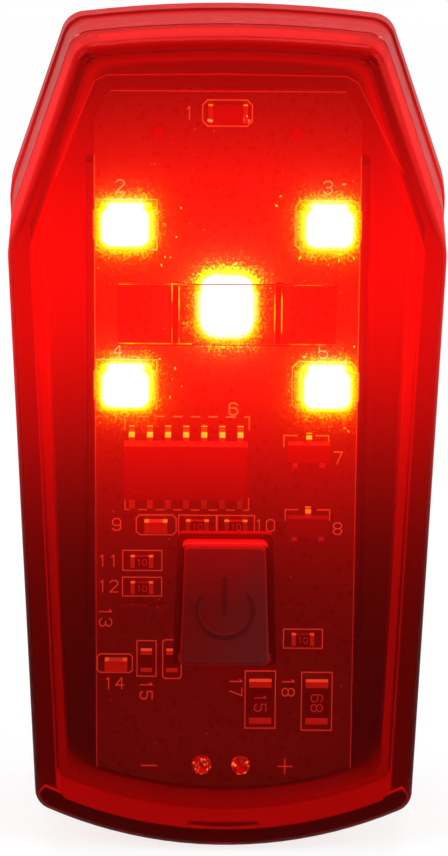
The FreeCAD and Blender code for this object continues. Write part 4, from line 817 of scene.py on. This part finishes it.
# painted glints on the indicator's two contacts: the middle and the height of each
CONTACTS = ((-1.05, 0.2), (1.1, 0.45))
CONTACT_FOOT = 19.98
CONTACT_ACROSS = (-0.35, 0.35)
CONTACT_GLINTS = 7
CONTACT_GLINT_SIZES = (0.04, 0.09)
# the shape of a grain: its uneven corners, two of them longer, and its tip
GRAIN_CORNERS = (0.6, 1.2)
GRAIN_LENGTHS = (1.0, 1.9)
GRAIN_TIP = 0.6


def specks(name, spots, material):
    """Small four-sided grains that sit half sunk in a surface: each is (x, y, z, size)."""
    vertices = []
    faces = []
    for x, y, z, grain in spots:
        first = len(vertices)
        turn = draws.uniform(0, math.pi)
        for step in range(4):
            angle = turn + step * math.pi / 2
            reach = grain * draws.uniform(*GRAIN_CORNERS) * GRAIN_LENGTHS[step % 2]
            vertices.append(((x + reach * math.cos(angle)) * MM, y * MM,
                             (z + reach * math.sin(angle)) * MM))
        vertices.append((x * MM, (y - grain * GRAIN_TIP) * MM, z * MM))
        faces += [(first + i, first + (i + 1) % 4, first + 4) for i in range(4)]
    mesh_piece(name, vertices, faces, material, "housing")


def dust():
    """Dust on the board, thick round the emitters and thin elsewhere, glowing with painted light,
    and painted glints on metal.
    """
    bright = []
    middles = [(0.0, EMITTER_MIDDLE)]
    for x in (-EMITTER_COLUMN, EMITTER_COLUMN):
        for z in (-EMITTER_ROW, EMITTER_ROW):
            middles.append((x, EMITTER_MIDDLE + z))
    for x, z in middles:
        for _ in range(EMITTER_DUST):
            angle = draws.uniform(0, 2 * math.pi)
            far = draws.uniform(*EMITTER_DUST_FAR)
            across = x + far * math.cos(angle)
            up = z + far * math.sin(angle) * EMITTER_DUST_FLAT
            if abs(across) < BOARD_HALF:
                bright.append((across, BOARD_FACE, up, draws.uniform(*EMITTER_DUST_SIZES)))
    specks("bright_dust", bright, dust_light)
    pale = [(draws.uniform(*BOARD_DUST_ACROSS), BOARD_FACE, draws.uniform(*BOARD_DUST_UP),
             draws.uniform(*BOARD_DUST_SIZES)) for _ in range(BOARD_DUST)]
    specks("pale_dust", pale, legend_ink)
    shiny = []
    for x in SOLDER_COLUMNS:
        for _ in range(DOME_GLINTS):
            angle = draws.uniform(0, 2 * math.pi)
            rise = draws.uniform(*DOME_RISE)
            reach = DOME_REACH - DOME_NARROWS * rise
            shiny.append((x + reach * math.cos(angle), BOARD_FACE - rise,
                          SOLDER_ROW + reach * math.sin(angle),
                          draws.uniform(*DOME_GLINT_SIZES)))
    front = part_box("indicator_contacts")[0][1] / MM
    for x, high in CONTACTS:
        for _ in range(CONTACT_GLINTS):
            shiny.append((x + draws.uniform(*CONTACT_ACROSS), front,
                          CONTACT_FOOT + draws.uniform(0, high),
                          draws.uniform(*CONTACT_GLINT_SIZES)))
    specks("solder_glints", shiny, glint)


# The power sign on the key, in millimetres
SIGN_MIDDLE = -12.9
SIGN_REACH = 1.95
SIGN_OPENING = math.radians(52)
SIGN_STEPS = 40
SIGN_RISE = 0.05
# the sign is darker than the key round it: painted shade, as if it were sunk in the key
SIGN_SHOWN = 0.6
RING_WIDTH = 0.5
BAR_WIDTH = 0.55
BAR_FOOT = -13.3
BAR_STEP = 0.1
BAR_POINTS = 30
# a bead's rounded section as angles across it, its depth under the face, and its slimmer ends
BEAD_ANGLES = (0, 0.6, 1.1, math.pi / 2, 2.04, 2.54, math.pi)
BEAD_SUNK = 0.02
BEAD_END = 0.35


def bead(name, run, width, rise, face, material, body):
    """A rounded ridge along a run of points on a plane that faces forwards."""
    section = [(math.cos(a), math.sin(a)) for a in BEAD_ANGLES]
    vertices = []
    for index, (x, z) in enumerate(run):
        before = run[max(index - 1, 0)]
        after = run[min(index + 1, len(run) - 1)]
        long = math.hypot(after[0] - before[0], after[1] - before[1])
        side = ((after[1] - before[1]) / long, -(after[0] - before[0]) / long)
        ends = BEAD_END if index in (0, len(run) - 1) else 1.0
        for across, up in section:
            vertices.append(((x + side[0] * across * width / 2 * ends) * MM,
                             (face + BEAD_SUNK - up * (rise * ends + BEAD_SUNK)) * MM,
                             (z + side[1] * across * width / 2 * ends) * MM))
    wide = len(section)
    faces = [(row * wide + i, row * wide + i + 1, (row + 1) * wide + i + 1, (row + 1) * wide + i)
             for row in range(len(run) - 1) for i in range(wide - 1)]
    mesh_piece(name, vertices, faces, material, body, smooth=True)


def power_symbol():
    """The common power sign, moulded on the key: an open ring and an upright bar."""
    ring = []
    for step in range(SIGN_STEPS + 1):
        angle = SIGN_OPENING + (2 * math.pi - 2 * SIGN_OPENING) * step / SIGN_STEPS
        ring.append((SIGN_REACH * math.sin(angle), SIGN_MIDDLE + SIGN_REACH * math.cos(angle)))
    # the sign's material carries painted shade, darker than the key round it
    key = soft_key("key_sign", SIGN_SHOWN)
    bead("power_ring", ring, RING_WIDTH, SIGN_RISE, KEY_FACE, key, "power_key")
    bar = [(0.0, BAR_FOOT + BAR_STEP * step) for step in range(BAR_POINTS)]
    bead("power_bar", bar, BAR_WIDTH, SIGN_RISE, KEY_FACE, key, "power_key")


def bending_spring():
    """The clip spring once more: a copy of its mesh in spring steel, in the place of the original,
    which is hidden.
    """
    wound = nodes["clip_spring"]
    mesh = wound.data.copy()
    mesh.name = "wound_spring"
    mesh.materials.clear()
    mesh.materials.append(materials["steel"])
    spring = bpy.data.objects.new("wound_spring", mesh)
    bpy.context.scene.collection.objects.link(spring)
    spring.matrix_world = wound.matrix_world.copy()
    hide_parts("clip_spring")
    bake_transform(spring)


# Camera, lamps and stage

def camera():
    """The photograph's camera."""
    data = bpy.data.cameras.new("camera")
    data.lens = CAMERA_LENS
    data.clip_start = CAMERA_NEAR
    data.clip_end = CAMERA_FAR
    maker = bpy.data.objects.new("camera", data)
    back = Vector((0, -math.cos(CAMERA_RISE), math.sin(CAMERA_RISE)))
    turn = (-back).to_track_quat("-Z", "Y") @ Matrix.Rotation(CAMERA_ROLL, 3, "Z").to_quaternion()
    maker.matrix_world = Matrix.LocRotScale(LOOKED_AT + back * CAMERA_REACH, turn, None)
    bpy.context.scene.collection.objects.link(maker)
    bpy.context.scene.camera = maker


def lamp(name, place, size):
    """A rectangular lamp that looks at the middle of the part."""
    data = bpy.data.lights.new(name, "AREA")
    data.shape = "RECTANGLE"
    data.size, data.size_y = size
    data.energy = LAMP_POWER
    maker = bpy.data.objects.new(name, data)
    place = Vector(place)
    turn = (LAMPS_AIM - place).to_track_quat("-Z", "Y")
    maker.matrix_world = Matrix.LocRotScale(place, turn, None)
    bpy.context.scene.collection.objects.link(maker)


def seen(g):
    """One where the camera, a reflection or a clear piece looks straight at the surface."""
    rays = g.node("LightPath").outputs
    first = g.plus(rays["Is Camera Ray"], rays["Is Glossy Ray"])
    return g.math("ADD", first, rays["Is Transmission Ray"], clamp=True)


def floor_white():
    """The floor's white, which takes a soft shadow near the part and is pure white far off."""
    g = new_graph("stage_white")
    tint = g.mix(g.noise(12, 2.0), (0.9, 0.9, 0.9, 1), (0.93, 0.93, 0.93, 1))
    pale = g.node("BsdfDiffuse", {"Color": tint})
    bright = g.node("Emission", {"Color": (1, 1, 1, 1), "Strength": 1.0})
    away = g.node("VectorMath", {0: g.place}, operation="LENGTH").outputs["Value"]
    share = g.times(seen(g), g.ramp(away, FLOOR_NEAR, FLOOR_FAR, FLOOR_SHARE_NEAR,
                                    FLOOR_SHARE_FAR))
    return g.out(g.mix_shaders(share, pale, bright))


def stage():
    """The floor, and a sky that is white low down and dark above."""
    low = cad_box[0][2] - FLOOR_GAP
    edge = FLOOR_REACH
    mesh = bpy.data.meshes.new("floor")
    mesh.from_pydata([(-edge, -edge, low), (edge, -edge, low), (edge, edge, low),
                      (-edge, edge, low)], [], [(0, 1, 2, 3)])
    mesh.materials.append(floor_white())
    floor = bpy.data.objects.new("floor", mesh)
    bpy.context.scene.collection.objects.link(floor)
    world = bpy.data.worlds.new("world")
    bpy.context.scene.world = world
    g = Graph(world, "ShaderNodeOutputWorld")
    rise = g.node("SeparateXYZ", {0: g.coordinates["Generated"]}).outputs["Z"]
    pale = g.ramp(rise, SKY_WHITE_BELOW, SKY_DARK_ABOVE, 1.0, SKY_DARK)
    level = g.times_plus(g.minus(pale, SKY_LIGHT), seen(g), SKY_LIGHT)
    g.out(g.node("Background", {"Color": (1, 1, 1, 1), "Strength": level}))


bpy.context.scene.view_settings.view_transform = "Standard"
camera()
stage()
legend()
light_lines()
dust()
power_symbol()
bending_spring()
for settings in LAMPS:
    lamp(*settings)
